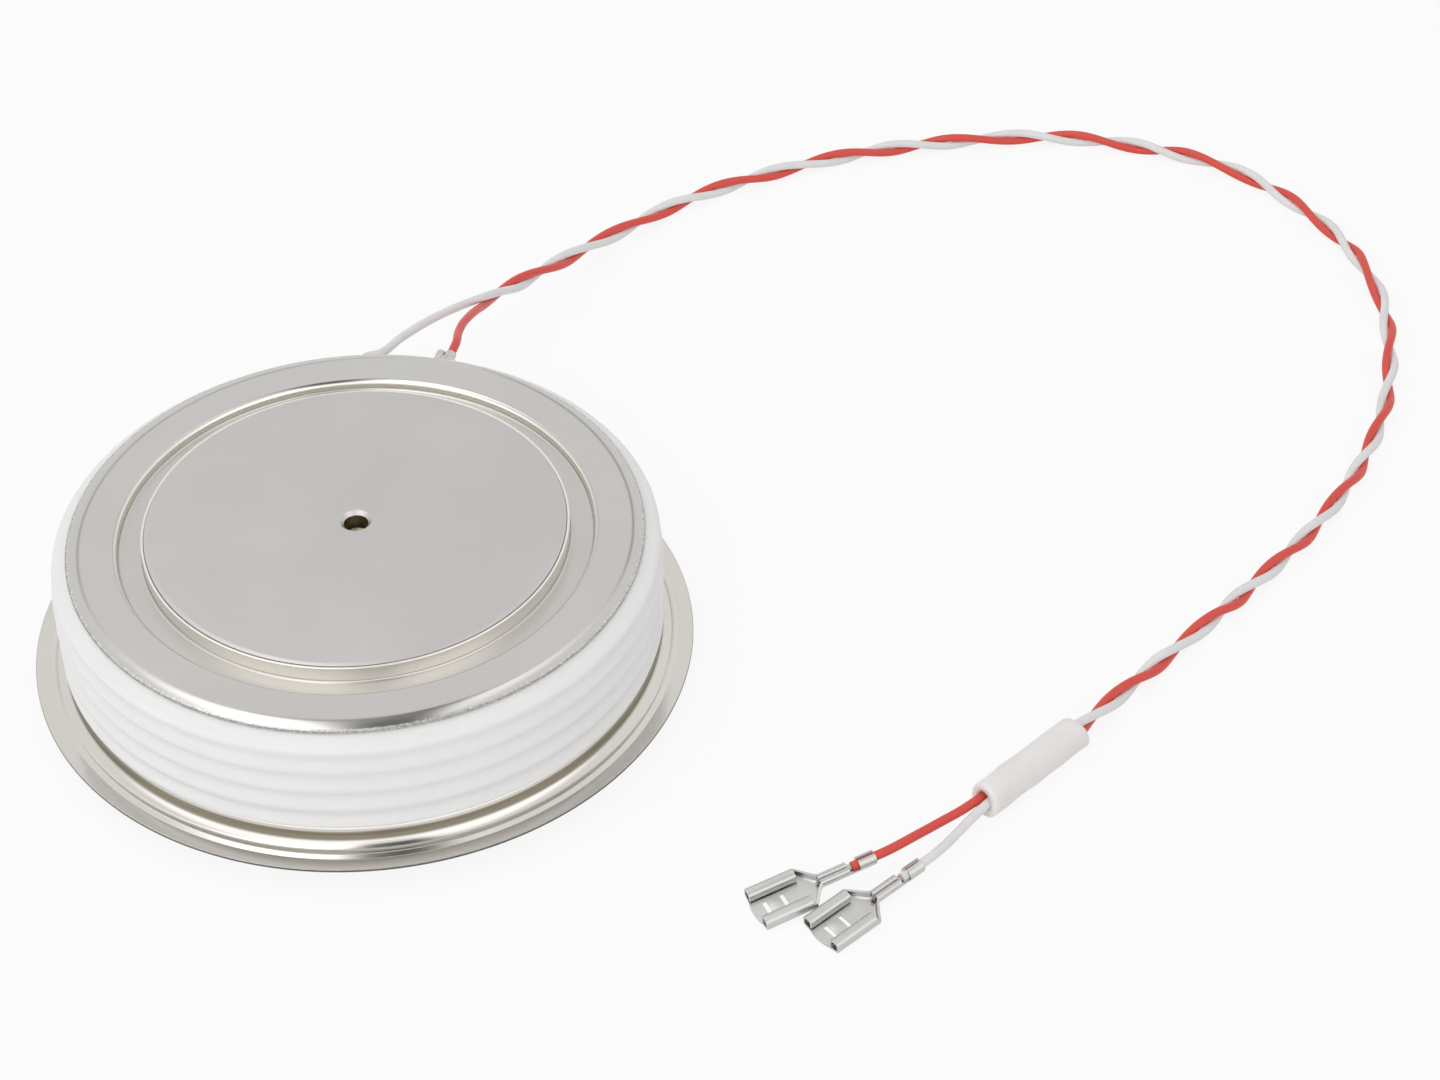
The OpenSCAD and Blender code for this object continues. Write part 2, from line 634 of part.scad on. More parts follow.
module neck_body(inset, top) {
    slice = 0.01;
    front_r = roll_r - inset;
    back_r = barrel_r - seat_step - inset;
    hull() {
        along(receptacle_l - join_overlap - inset * slice, slice)
            polygon(trough_outline(neck_front_w - 2 * inset, neck_front_h + top, front_r, inset));
        along(barrel_x - slice + inset * slice, slice)
            polygon(trough_outline(2 * back_r, barrel_lobe_z + top, back_r, inset + 2 * seat_step));
    }
}

module barrel_section()
    difference() {
        union() {
            intersection() {
                translate([0, barrel_r]) circle(barrel_r);
                translate([-barrel_r, 0]) square([2 * barrel_r, barrel_lobe_z]);
            }
            for (side = [-1, 1]) translate([side * barrel_lobe_y, barrel_lobe_z]) circle(barrel_lobe_r);
        }
        translate([0, conductor_z]) circle(d = conductor_d + 2 * fit);
    }

module grip_section()
    translate([0, wire_z]) difference() {
        circle(grip_bore_r + grip_wall);
        circle(grip_bore_r);
        translate([-grip_slit / 2, 0]) square([grip_slit, 2 * wire_z]);
    }

module keel_section()
    intersection() {
        translate([0, wire_z]) difference() {
            circle(grip_bore_r + grip_wall - seat_step);
            circle(grip_bore_r + seat_step);
        }
        translate([-wire_z, 0]) square([2 * wire_z, keel_h]);
    }

module terminal_place(at, turn, tilt)
    translate([at.x, at.y, terminal_lift(tilt)]) rotate([0, -tilt, turn]) children();

module push_on_terminal() {
    receptacle();
    difference() {
        neck_body(0, 0);
        neck_body(terminal_t, overcut);
    }
    along(barrel_x, barrel_l) barrel_section();
    along(gap_x, barrel_gap) keel_section();
    along(grip_x, grip_l) grip_section();
}

module strand()
    translate([barrel_x - brush_l, 0, conductor_z]) rotate([0, 90, 0])
        cylinder(h = wire_end_x - fit - barrel_x + brush_l, d = conductor_d);

module red_terminal() color("lightgray")
    terminal_place(red_terminal_at, red_terminal_turn, red_terminal_tilt) push_on_terminal();

module white_terminal() color("lightgray")
    terminal_place(white_terminal_at, white_terminal_turn, white_terminal_tilt) push_on_terminal();

module red_conductor() color("peru")
    terminal_place(red_terminal_at, red_terminal_turn, red_terminal_tilt) strand();

module white_conductor() color("peru")
    terminal_place(white_terminal_at, white_terminal_turn, white_terminal_tilt) strand();

ceramic_ring();
cathode_pole();
cathode_flange();
weld_ring();
anode_flange();
anode_pole();
anode_disc();
silicon_wafer();
junction_coating();
cathode_disc();
locating_ring();
gate_pin();
gate_spring();
gate_insulator();
gate_lead();
gate_lead_sleeve();
gate_tube();
gate_crimp();
cathode_strap();
cathode_tube();
cathode_crimp();
white_lead();
red_lead();
twisted_pair();
wire_sleeve();
white_tail();
red_tail();
white_conductor();
red_conductor();
white_terminal();
red_terminal();
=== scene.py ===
"""Looks of the disc thyristor: nickel-plated capsule with a glazed ceramic ring, and its twisted lead."""

import json
import math

import bmesh
import bpy
from mathutils import Matrix, Vector, noise


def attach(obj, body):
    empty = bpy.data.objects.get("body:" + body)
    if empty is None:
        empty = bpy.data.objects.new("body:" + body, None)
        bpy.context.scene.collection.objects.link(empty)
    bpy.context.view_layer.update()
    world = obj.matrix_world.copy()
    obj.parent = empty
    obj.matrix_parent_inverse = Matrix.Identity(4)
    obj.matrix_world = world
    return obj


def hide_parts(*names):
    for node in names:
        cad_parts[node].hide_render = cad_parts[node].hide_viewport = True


MM = 0.001
UP = Vector((0, 0, 1))

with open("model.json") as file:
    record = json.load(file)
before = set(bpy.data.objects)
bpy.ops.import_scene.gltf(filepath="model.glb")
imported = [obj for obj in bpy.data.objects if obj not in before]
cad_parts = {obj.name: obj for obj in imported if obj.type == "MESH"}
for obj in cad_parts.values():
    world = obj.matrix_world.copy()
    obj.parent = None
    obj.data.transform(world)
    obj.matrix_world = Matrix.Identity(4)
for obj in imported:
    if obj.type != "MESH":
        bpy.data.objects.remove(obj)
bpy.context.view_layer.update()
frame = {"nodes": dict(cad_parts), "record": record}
nodes = frame["nodes"]
scene = bpy.context.scene
SLOTS = {part["node"]: part["material_slot"] for part in frame["record"]["subparts"]}


def add_piece(name, data, *replaced):
    """A new piece on the one body, which stands for CAD nodes and hides them."""
    piece = bpy.data.objects.new(name, data)
    scene.collection.objects.link(piece)
    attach(piece, "root")
    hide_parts(*replaced)
    return piece


# Camera

CAMERA_AT = (0.05408, -0.35344, 0.3284)
CAMERA_TILT = 40.911
CAMERA_LENS = 78.32


def place_camera():
    data = bpy.data.cameras.new("camera")
    data.lens = CAMERA_LENS
    camera = bpy.data.objects.new("camera", data)
    camera.location = CAMERA_AT
    camera.rotation_euler = (math.radians(90 - CAMERA_TILT), 0, 0)
    scene.collection.objects.link(camera)
    scene.camera = camera


place_camera()


# Route of the lead, in millimetres as on the part's drawing

WIRE_D = 1.4
WIRE_ROUNDNESS = 5
TWIST_R = 0.71
JOIN_AT = Vector((16.5, 78.5, 10))
SLEEVE_TURN = math.radians(44.5)
SLEEVE_AT = Vector((92, -35.6, 2.75))
SLEEVE_DIR = Vector((math.cos(SLEEVE_TURN), math.sin(SLEEVE_TURN), 0))
SLEEVE_L = 21
SPLIT_AT = Vector((98, -29.7, 2.75))
SPLIT_SIDE = Vector((-math.sin(SLEEVE_TURN), math.cos(SLEEVE_TURN), 0))
MOUTH_SPREAD = 0.775
CRIMP_RADII = (47.75, 50.65, 52.05)
TERMINAL_STATIONS = (20.2, 18.8, 16.1, 15.2)
TERMINAL_LIP = 0.45
WIRE_Z = 1.05
STRAND_Z = 0.95

# A crimp is an angle and a height. A terminal is a place on the floor, a turn and a tilt
RED_CRIMP = (77.5, 20.1)
WHITE_CRIMP = (94, 16.55)
RED_TERMINAL = (59.2, -54.8, 25.5, 6.5)
WHITE_TERMINAL = (68.15, -59.55, 39.8, 4)
RED_LEAD = [
    (11.3, 55.5, 18.7), (11.7, 59.5, 17.6), (12.4, 63.3, 16.2), (13.2, 67.7, 14.2), (14.2, 73.1, 11.4),
]
WHITE_LEAD = [
    (-1.7, 53.1, 16.3), (1.6, 58, 15.9), (5.3, 63.2, 15.2), (9.4, 68.5, 14), (13.3, 72.5, 13.1),
]
PAIR = [
    (25.5, 92.5, 6), (36, 107, 2.5), (49, 119, 1.5), (63.5, 127, 1.5), (80, 133.5, 1.5),
    (98, 137.5, 1.5), (115.5, 139, 1.5), (133, 135.5, 1.5), (147.5, 129, 1.5), (158.5, 117.5, 1.5),
    (166, 104.5, 1.5), (169.5, 90.5, 1.5), (169, 74.5, 1.5), (165.5, 58, 1.5), (159, 42.5, 1.5),
    (150, 28, 1.5), (138.5, 14, 1.5), (125.5, 0, 1.5), (114.5, -11.8, 1.7), (106.5, -21.2, 2.7),
]
RED_TAIL = [(89.3, -37, 2.8), (85.8, -39.7, 2.9), (82.6, -42.2, 3.1)]
WHITE_TAIL = [(90.4, -38.6, 2.6), (88.5, -41, 2.5), (86.4, -43.7, 2.5)]

# Lengths along the pair at which one wire lies on the other, half a turn apart
HALF_TURN = 180
START_TURN = 139
FIRST_MARK_TURN = 270
LAST_TURN = 5760
TURN_MARKS = [
    8.8, 22.4, 37.0, 49.8, 61.7, 72.9, 85.2, 95.9, 106.8, 119.2, 130.6, 141.8, 151.3, 164.2, 174.7, 185.6,
    195.1, 208.3, 218.3, 229.3, 240.0, 250.4, 259.6, 270.6, 280.3, 290.6, 298.8, 310.8, 320.4, 332.2, 342.3,
]
HELIX_STEP = 1.6
SPLINE_STEP = 0.5


def smooth_line(points, step):
    """A smooth line through the points, with a point about every step millimetres."""
    gaps = [(b - a).length for a, b in zip(points, points[1:])]
    slopes = [(b - a) / d for a, b, d in zip(points, points[1:], gaps)]
    ways = [slopes[0]]
    for i in range(1, len(points) - 1):
        ways.append((slopes[i - 1] * gaps[i] + slopes[i] * gaps[i - 1]) / (gaps[i - 1] + gaps[i]))
    ways.append(slopes[-1])
    line = []
    for i, d in enumerate(gaps):
        count = max(1, round(d / step))
        for k in range(count):
            t = k / count
            a = points[i] * (2 * t**3 - 3 * t**2 + 1) + ways[i] * d * (t**3 - 2 * t**2 + t)
            b = points[i + 1] * (3 * t**2 - 2 * t**3) + ways[i + 1] * d * (t**3 - t**2)
            line.append(a + b)
    return line + [points[-1]]


def lengths_along(line):
    along = [0.0]
    for a, b in zip(line, line[1:]):
        along.append(along[-1] + (b - a).length)
    return along


def between(x, xs, ys):
    """The value at x on the broken line through xs and ys."""
    for x0, x1, y0, y1 in zip(xs, xs[1:], ys, ys[1:]):
        if x <= x1:
            return y0 + (y1 - y0) * (x - x0) / (x1 - x0)
    return ys[-1]


def twisted_points(lag):
    """Points of one wire of the pair. The other wire lags by half a turn."""
    line = smooth_line([JOIN_AT, *map(Vector, PAIR), SPLIT_AT], SPLINE_STEP)
    along = lengths_along(line)
    marks = [0, *TURN_MARKS, along[-1]]
    turns = [START_TURN, *[FIRST_MARK_TURN + HALF_TURN * i for i in range(len(TURN_MARKS))], LAST_TURN]
    points = []
    last = -HELIX_STEP
    for i, s in enumerate(along[:-1]):
        if s - last < HELIX_STEP:
            continue
        last = s
        way = (line[i + 1] - line[max(i - 1, 0)]).normalized()
        left = UP.cross(way).normalized()
        above = way.cross(left)
        angle = math.radians(between(s, marks, turns) + lag)
        points.append(line[i] + TWIST_R * (math.cos(angle) * left + math.sin(angle) * above))
    return points


def out_of_crimp(crimp):
    angle, z = math.radians(crimp[0]), crimp[1]
    return [Vector((r * math.cos(angle), r * math.sin(angle), z)) for r in CRIMP_RADII]


def terminal_frame(terminal):
    """The middle of a terminal's mouth, and its directions along, to the left and up."""
    x, y, turn, tilt = terminal
    turn, tilt = math.radians(turn), math.radians(tilt)
    mouth = Vector((x, y, TERMINAL_LIP * math.sin(tilt)))
    along = Vector((math.cos(turn) * math.cos(tilt), math.sin(turn) * math.cos(tilt), math.sin(tilt)))
    left = Vector((-math.sin(turn), math.cos(turn), 0))
    return mouth, along, left, along.cross(left)


def into_terminal(terminal):
    mouth, along, _, above = terminal_frame(terminal)
    return [mouth + s * along + WIRE_Z * above for s in TERMINAL_STATIONS]


def cord_curve(name, roundness):
    """An empty curve whose lines become round cords, as thick as their points say."""
    curve = bpy.data.curves.new(name, "CURVE")
    curve.dimensions = "3D"
    curve.bevel_depth = 1.0
    curve.bevel_resolution = roundness
    curve.use_fill_caps = True
    return curve


def add_line(curve, line, diameter):
    spline = curve.splines.new("POLY")
    spline.points.add(len(line) - 1)
    for point, at in zip(spline.points, line):
        point.co = (*(at * MM), 1)
        point.radius = diameter / 2 * MM
    spline.use_smooth = True


def lay_wire(colour, crimp, lead, lag, side, tail, terminal):
    """One insulated wire from its crimp, through the twist and the sleeve, to its terminal."""
    points = out_of_crimp(crimp) + [Vector(p) for p in lead] + twisted_points(lag)
    points.append(SLEEVE_AT + side * MOUTH_SPREAD * SPLIT_SIDE)
    points += [Vector(p) for p in tail] + into_terminal(terminal)
    line = smooth_line(points, SPLINE_STEP)
    name = colour + "_wire"
    curve = cord_curve(name, WIRE_ROUNDNESS)
    add_line(curve, line, WIRE_D)
    wire = add_piece(name, curve, colour + "_lead", colour + "_tail", "twisted_pair")
    return wire, line[0] * MM, lengths_along(line)[-1] * MM


red_wire, red_exit, red_length = lay_wire(
    "red", RED_CRIMP, RED_LEAD, HALF_TURN, 1, RED_TAIL, RED_TERMINAL)
white_wire, white_exit, white_length = lay_wire(
    "white", WHITE_CRIMP, WHITE_LEAD, 0, -1, WHITE_TAIL, WHITE_TERMINAL)


# Shader groups that several finishes share

GRAIN_DETAIL = 3.0
CLOUD_DETAIL = 4.0
CLOUD_RANGE = (0.3, 0.7)
CRUMB_SCALE = 2200.0
CRUMB_DETAIL = 4.0


class NodeSheet:
    """A node tree with short ways to add nodes and join them."""

    def __init__(self, tree):
        self.tree = tree

    def add(self, kind, values=None, **settings):
        node = self.tree.nodes.new(kind)
        for key, value in settings.items():
            setattr(node, key, value)
        for key, value in (values or {}).items():
            if isinstance(value, bpy.types.NodeSocket):
                self.tree.links.new(value, node.inputs[key])
            else:
                node.inputs[key].default_value = value
        return node

    def math(self, operation, a, b=0.0):
        return self.add("ShaderNodeMath", {0: a, 1: b}, operation=operation).outputs[0]

    def both(self, a, *more):
        """The product of several masks."""
        for b in more:
            a = self.math("MULTIPLY", a, b)
        return a

    def spread(self, value, low, high, to_low=0, to_high=1):
        node = self.add("ShaderNodeMapRange", {0: value, 1: low, 2: high, 3: to_low, 4: to_high})
        return node.outputs[0]

    def blend(self, mask, a, b):
        node = self.add("ShaderNodeMix", {0: mask, 6: a, 7: b}, data_type="RGBA")
        return node.outputs[2]

    def noise(self, place, scale, detail):
        node = self.add("ShaderNodeTexNoise", {"Vector": place, "Scale": scale, "Detail": detail})
        return node.outputs["Fac"]

    def place(self, kind="Object"):
        return self.add("ShaderNodeTexCoord").outputs[kind]

    def link(self, start, end):
        self.tree.links.new(start, end)


def shared_group(name, inputs, outputs):
    """An empty group with number sockets, its sheet, its input node and its output node."""
    tree = bpy.data.node_groups.new(name, "ShaderNodeTree")
    for socket, value in inputs.items():
        made = tree.interface.new_socket(socket, in_out="INPUT", socket_type="NodeSocketFloat")
        made.default_value = value
    for socket in outputs:
        tree.interface.new_socket(socket, in_out="OUTPUT", socket_type="NodeSocketFloat")
    sheet = NodeSheet(tree)
    return sheet, sheet.add("NodeGroupInput"), sheet.add("NodeGroupOutput")


def make_plate_grain():
    """Fine grain and wide clouds of a surface. Sizes are in grains and clouds to the metre."""
    sheet, given, made = shared_group(
        "plate_grain", {"Grain": 4000, "Clouds": 60}, ("Grain Height", "Cloud Mask"))
    place = sheet.place()
    grain = sheet.noise(place, given.outputs["Grain"], GRAIN_DETAIL)
    clouds = sheet.noise(place, given.outputs["Clouds"], CLOUD_DETAIL)
    sheet.link(grain, made.inputs["Grain Height"])
    sheet.link(sheet.spread(clouds, *CLOUD_RANGE), made.inputs["Cloud Mask"])
    return sheet.tree


def make_rough_edge():
    """Mask of what lies outside a radius from the axis in metres, and the height of its rough crust."""
    sheet, given, made = shared_group(
        "rough_edge", {"Radius": 1.0, "Blend": 0.0003, "Ragged": 0.0003}, ("Mask", "Height"))
    place = sheet.place()
    flat = sheet.add("ShaderNodeVectorMath", {0: place, 1: (1, 1, 0)}, operation="MULTIPLY").outputs[0]
    radius = sheet.add("ShaderNodeVectorMath", {0: flat}, operation="LENGTH").outputs["Value"]
    crumbs = sheet.noise(place, CRUMB_SCALE, CRUMB_DETAIL)
    uneven = sheet.math("MULTIPLY", sheet.math("SUBTRACT", crumbs, 0.5), given.outputs["Ragged"])
    past = sheet.math("SUBTRACT", sheet.math("ADD", radius, uneven), given.outputs["Radius"])
    over = sheet.math("DIVIDE", past, given.outputs["Blend"])
    sheet.link(sheet.spread(over, 0, 1), made.inputs["Mask"])
    sheet.link(crumbs, made.inputs["Height"])
    return sheet.tree


PLATE_GRAIN = make_plate_grain()
ROUGH_EDGE = make_rough_edge()


# Finishes, with sizes in metres

SHEET_GRAIN = 5000
CRUMB_RANGE = (0.42, 0.6)
CRUST_ROUGHNESS = 0.2
CRUST_DEPTH = 0.00003
# Olive band on the weld rim's collar wall: painted dark reflection
PAINTED_OLIVE_REFLECTION = (0.27, 0.25, 0.19)
REFLECTION_FADE = 0.0004
# Lighter, creamier tone of the trough walls: painted reflection
PAINTED_WALL_SHEEN = (0.84, 0.81, 0.755)
SATIN_ROUGHNESS = 0.12
TROUGH_FLOOR = 0.0232
TROUGH_EDGE = 0.0356
TROUGH_BLEND = 0.0002
WALL_FADE = 0.0003
BORE_R = 0.00183
BORE_BLEND = 0.00002
# Dark brown inside the locating hole's bore: painted shade
PAINTED_BORE_SHADE = (0.3, 0.26, 0.185)

# Metals: name, darker and lighter tone, range of roughness, grains to the metre and their depth
POLE_PLATING = ("matte_nickel", (0.55, 0.533, 0.523), (0.58, 0.563, 0.553), (0.36, 0.42), 6000, 6e-6)
METALS = {
    "flange_nickel": ("formed_nickel", (0.55, 0.525, 0.49), (0.58, 0.555, 0.52), (0.16, 0.22), 5000, 1e-6),
    "tube_nickel": ("crimped_nickel", (0.56, 0.54, 0.5), (0.64, 0.62, 0.58), (0.24, 0.34), 5000, 1e-5),
    "tinned_brass": ("matte_tin", (0.54, 0.535, 0.52), (0.6, 0.595, 0.58), (0.33, 0.41), 5000, 6e-6),
    "molybdenum": ("lapped_molybdenum", (0.36, 0.36, 0.38), (0.41, 0.41, 0.43), (0.3, 0.38), 5000, 1e-5),
    "silicon": ("metallised_silicon", (0.52, 0.53, 0.57), (0.58, 0.59, 0.63), (0.14, 0.2), 7000, 2e-6),
    "gate_metal": ("gold_plate", (0.8, 0.63, 0.28), (0.86, 0.69, 0.33), (0.18, 0.26), 5000, 4e-6),
    "spring_steel": ("drawn_spring_steel", (0.46, 0.46, 0.48), (0.54, 0.54, 0.56), (0.25, 0.35), 5000, 1e-5),
    "strand_copper": ("tinned_strands", (0.55, 0.5, 0.44), (0.66, 0.61, 0.55), (0.28, 0.36), 3000, 1e-5),
}

# Wire jackets and cast pieces: name, darker and lighter tone, and range of roughness
JACKETS = {
    "red_insulation": ("red_jacket", (0.7, 0.07, 0.05), (0.74, 0.08, 0.056), (0.38, 0.46)),
    "white_insulation": ("white_jacket", (0.78, 0.775, 0.77), (0.83, 0.825, 0.82), (0.38, 0.46)),
    "coating": ("cast_silicone", (0.75, 0.63, 0.57), (0.8, 0.68, 0.62), (0.4, 0.5)),
    "fluoropolymer": ("turned_fluoropolymer", (0.88, 0.88, 0.86), (0.93, 0.93, 0.91), (0.4, 0.5)),
}
JACKET_GRAIN = {"grain": 2500, "depth": 0.000015, "clouds": 250}
GLAZE = ((0.89, 0.885, 0.88), (0.91, 0.905, 0.9), (0.4, 0.48), 700, 2e-6, 90)
TUBING = ((0.87, 0.825, 0.81), (0.9, 0.865, 0.845), (0.42, 0.52), 1500, 2e-5, 200)

# Formed sheets: tones and roughness, the crust at the edge with its tones (near black on the weld rim:
# painted shade), and the heights of a band of painted dark reflection
BRAZED_SHEET = {
    "dark": (0.55, 0.535, 0.515), "light": (0.58, 0.565, 0.545), "rough": (0.13, 0.18),
    "crust": {"Radius": 0.0424}, "crust_and_shade_dark": (0.46, 0.45, 0.43), "crust_and_shade_light": (0.68, 0.67, 0.64),
    "reflection_from": 1.0, "reflection_to": 1.0,
}
WELDED_SHEET = {
    "dark": (0.63, 0.605, 0.57), "light": (0.66, 0.635, 0.6), "rough": (0.13, 0.18),
    "crust": {"Radius": 0.04993, "Blend": 0.00004, "Ragged": 0.00004},
    # Near-black edge tones at the weld: painted shade, for the shadow under the rim that the edge reflects
    "crust_and_shade_dark": (0.1, 0.095, 0.09), "crust_and_shade_light": (0.16, 0.15, 0.14),
    # Heights of the band of painted dark olive reflection on the collar wall
    "reflection_from": 0.0047, "reflection_to": 0.0066,
}


def new_finish(name):
    material = bpy.data.materials.new(name)
    material.use_nodes = True
    sheet = NodeSheet(material.node_tree)
    shader = material.node_tree.nodes["Principled BSDF"]
    return material, sheet, shader


def place_group(sheet, group, **values):
    node = sheet.add("ShaderNodeGroup", node_tree=group)
    for key, value in values.items():
        node.inputs[key].default_value = value
    return node


def bump(sheet, height, depth):
    node = sheet.add("ShaderNodeBump", {"Height": height, "Distance": depth, "Strength": 1.0})
    return node.outputs["Normal"]


def outside(sheet, radius, blend):
    """Clean mask of what lies outside a radius from the axis."""
    return place_group(sheet, ROUGH_EDGE, Radius=radius, Blend=blend, Ragged=0.0).outputs["Mask"]


def grained(sheet, shader, dark, light, rough, grain, depth, clouds=60):
    """Gives a shader its grain and its uneven roughness, and returns two close tones in wide clouds."""
    plate = place_group(sheet, PLATE_GRAIN, Grain=grain, Clouds=clouds)
    mask = plate.outputs["Cloud Mask"]
    sheet.link(sheet.spread(mask, 0, 1, *rough), shader.inputs["Roughness"])
    sheet.link(bump(sheet, plate.outputs["Grain Height"], depth), shader.inputs["Normal"])
    return sheet.blend(mask, (*dark, 1), (*light, 1))


def metal_finish(name, *looks):
    """A plated or bare metal."""
    material, sheet, shader = new_finish(name)
    shader.inputs["Metallic"].default_value = 1.0
    sheet.link(grained(sheet, shader, *looks), shader.inputs["Base Color"])
    return material


def pole_finish(name, *looks):
    """Matte plated pole piece, whose locating hole is painted dark brown inside its bore as painted shade.
    """
    material, sheet, shader = new_finish(name)
    shader.inputs["Metallic"].default_value = 1.0
    plated = grained(sheet, shader, *looks)
    outside_bore = outside(sheet, BORE_R, BORE_BLEND)
    # Inside the bore the tone is painted dark brown: painted shade in the hole
    sheet.link(sheet.blend(outside_bore, (*PAINTED_BORE_SHADE, 1), plated), shader.inputs["Base Color"])
    return material


def sheet_finish(name, dark, light, rough, crust, crust_and_shade_dark, crust_and_shade_light, reflection_from, reflection_to):
    """Plated formed sheet with satin trough walls painted lighter and creamier as painted reflection, a band
    of painted dark olive reflection, and a crust of braze or weld at its edge, near black on the weld as
    painted shade.
    """
    material, sheet, shader = new_finish(name)
    shader.inputs["Metallic"].default_value = 1.0
    clouds = place_group(sheet, PLATE_GRAIN, Grain=SHEET_GRAIN).outputs["Cloud Mask"]
    height = sheet.add("ShaderNodeSeparateXYZ", {0: sheet.place()}).outputs["Z"]
    edge = place_group(sheet, ROUGH_EDGE, **crust)
    mask = edge.outputs["Mask"]
    within = sheet.math("SUBTRACT", 1.0, outside(sheet, TROUGH_EDGE, TROUGH_BLEND))

    # A band of painted dark olive reflection between two heights
    olive_reflection = sheet.both(sheet.spread(height, reflection_from, reflection_from + REFLECTION_FADE),
                      sheet.spread(height, reflection_to - REFLECTION_FADE, reflection_to, 1, 0))
    wall = sheet.both(within, sheet.spread(height, TROUGH_FLOOR, TROUGH_FLOOR + WALL_FADE))
    plated = sheet.blend(clouds, (*dark, 1), (*light, 1))
    plated = sheet.blend(olive_reflection, plated, (*PAINTED_OLIVE_REFLECTION, 1))
    # The trough walls are painted lighter and creamier: painted reflection over the satin finish
    plated = sheet.blend(wall, plated, (*PAINTED_WALL_SHEEN, 1))
    crumbs = sheet.spread(edge.outputs["Height"], *CRUMB_RANGE)
    # Tones of the crust at the edge: braze specks, or near black on the weld rim as painted shade
    crust_and_shade = sheet.blend(crumbs, (*crust_and_shade_dark, 1), (*crust_and_shade_light, 1))
    sheet.link(sheet.blend(mask, plated, crust_and_shade), shader.inputs["Base Color"])

    roughness = sheet.math("ADD", sheet.spread(clouds, 0, 1, *rough), sheet.both(within, SATIN_ROUGHNESS))
    roughness = sheet.math("ADD", roughness, sheet.both(mask, CRUST_ROUGHNESS))
    sheet.link(roughness, shader.inputs["Roughness"])
    rise = sheet.both(edge.outputs["Height"], mask)
    sheet.link(bump(sheet, rise, CRUST_DEPTH), shader.inputs["Normal"])
    return material


def jacket_finish(name, *looks):
    """Extruded wire insulation or a cast piece, with a faint mottle and ripple."""
    material, sheet, shader = new_finish(name)
    sheet.link(grained(sheet, shader, *looks, **JACKET_GRAIN), shader.inputs["Base Color"])
    return material


def glaze_finish():
    """White glazed alumina: a smooth coat over a body with faint mottling."""
    material, sheet, shader = new_finish("white_glaze")
    sheet.link(grained(sheet, shader, *GLAZE), shader.inputs["Base Color"])
    shader.inputs["Subsurface Weight"].default_value = 0.3
    shader.inputs["Subsurface Radius"].default_value = (1.0, 0.9, 0.85)
    shader.inputs["Subsurface Scale"].default_value = 0.001
    shader.inputs["Coat Weight"].default_value = 0.05
    shader.inputs["Coat Roughness"].default_value = 0.2
    return material


def tubing_finish():
    """Soft milky tubing that light soaks into, so that the red wire inside tints it."""
    material, sheet, shader = new_finish("milky_tubing")
    sheet.link(grained(sheet, shader, *TUBING), shader.inputs["Base Color"])
    shader.inputs["Subsurface Weight"].default_value = 0.6
    shader.inputs["Subsurface Radius"].default_value = (1.0, 0.75, 0.7)
    shader.inputs["Subsurface Scale"].default_value = 0.0015
    return material


FINISHES = {
    "pole_nickel": pole_finish(*POLE_PLATING),
    "ceramic": glaze_finish(),
    "sleeve_rubber": tubing_finish(),
    "brazed_sheet": sheet_finish("brazed_sheet", **BRAZED_SHEET),
    "welded_sheet": sheet_finish("welded_sheet", **WELDED_SHEET),
}
FINISHES.update({slot: metal_finish(*looks) for slot, looks in METALS.items()})
FINISHES.update({slot: jacket_finish(*looks) for slot, looks in JACKETS.items()})


# Smooth shading of the turned and formed pieces, with a small round on their edges, in metres

EDGE_ROUND = 0.00006
EDGE_SEGMENTS = 2
SHARP_ANGLE = math.radians(32)
SAME_PLACE = 1e-6


def make_shading_steps():
    """Joins the faces of a piece, and keeps an edge sharp only where it turns through a wide angle."""
    tree = bpy.data.node_groups.new("joined_faces", "GeometryNodeTree")
    tree.interface.new_socket("Mesh", in_out="INPUT", socket_type="NodeSocketGeometry")
    tree.interface.new_socket("Mesh", in_out="OUTPUT", socket_type="NodeSocketGeometry")
    sheet = NodeSheet(tree)
    given = sheet.add("NodeGroupInput")
    made = sheet.add("NodeGroupOutput")
    joined = sheet.add(
        "GeometryNodeMergeByDistance", {"Geometry": given.outputs[0], "Distance": SAME_PLACE})
    angle = sheet.add("GeometryNodeInputMeshEdgeAngle").outputs["Unsigned Angle"]
    sharp = sheet.add("FunctionNodeCompare", {0: angle, 1: SHARP_ANGLE}, operation="GREATER_THAN")
    shaded = sheet.add("GeometryNodeSetMeshNormal", {
        "Mesh": joined.outputs[0], "Remove Custom": True,
        "Edge Sharpness": sharp.outputs[0], "Face Sharpness": False})
    sheet.link(shaded.outputs[0], made.inputs[0])
    return tree


SHADING_STEPS = make_shading_steps()


def dress(piece, finish):
    piece.data.materials.clear()
    piece.data.materials.append(FINISHES[finish])


def shade_smooth(piece):
    joined = piece.modifiers.new("joined_faces", "NODES")
    joined.node_group = SHADING_STEPS
    rounded = piece.modifiers.new("rounded_edges", "BEVEL")
    rounded.width = EDGE_ROUND
    rounded.segments = EDGE_SEGMENTS
    rounded.limit_method = "ANGLE"
    rounded.angle_limit = SHARP_ANGLE
    rounded.use_clamp_overlap = True
    flats = piece.modifiers.new("flat_faces", "WEIGHTED_NORMAL")
    flats.keep_sharp = True


for node, slot in SLOTS.items():
    dress(nodes[node], slot)
    shade_smooth(nodes[node])
dress(red_wire, "red_insulation")
dress(white_wire, "white_insulation")


# Turned and formed pieces of the capsule, in millimetres from the axis and from the anode face

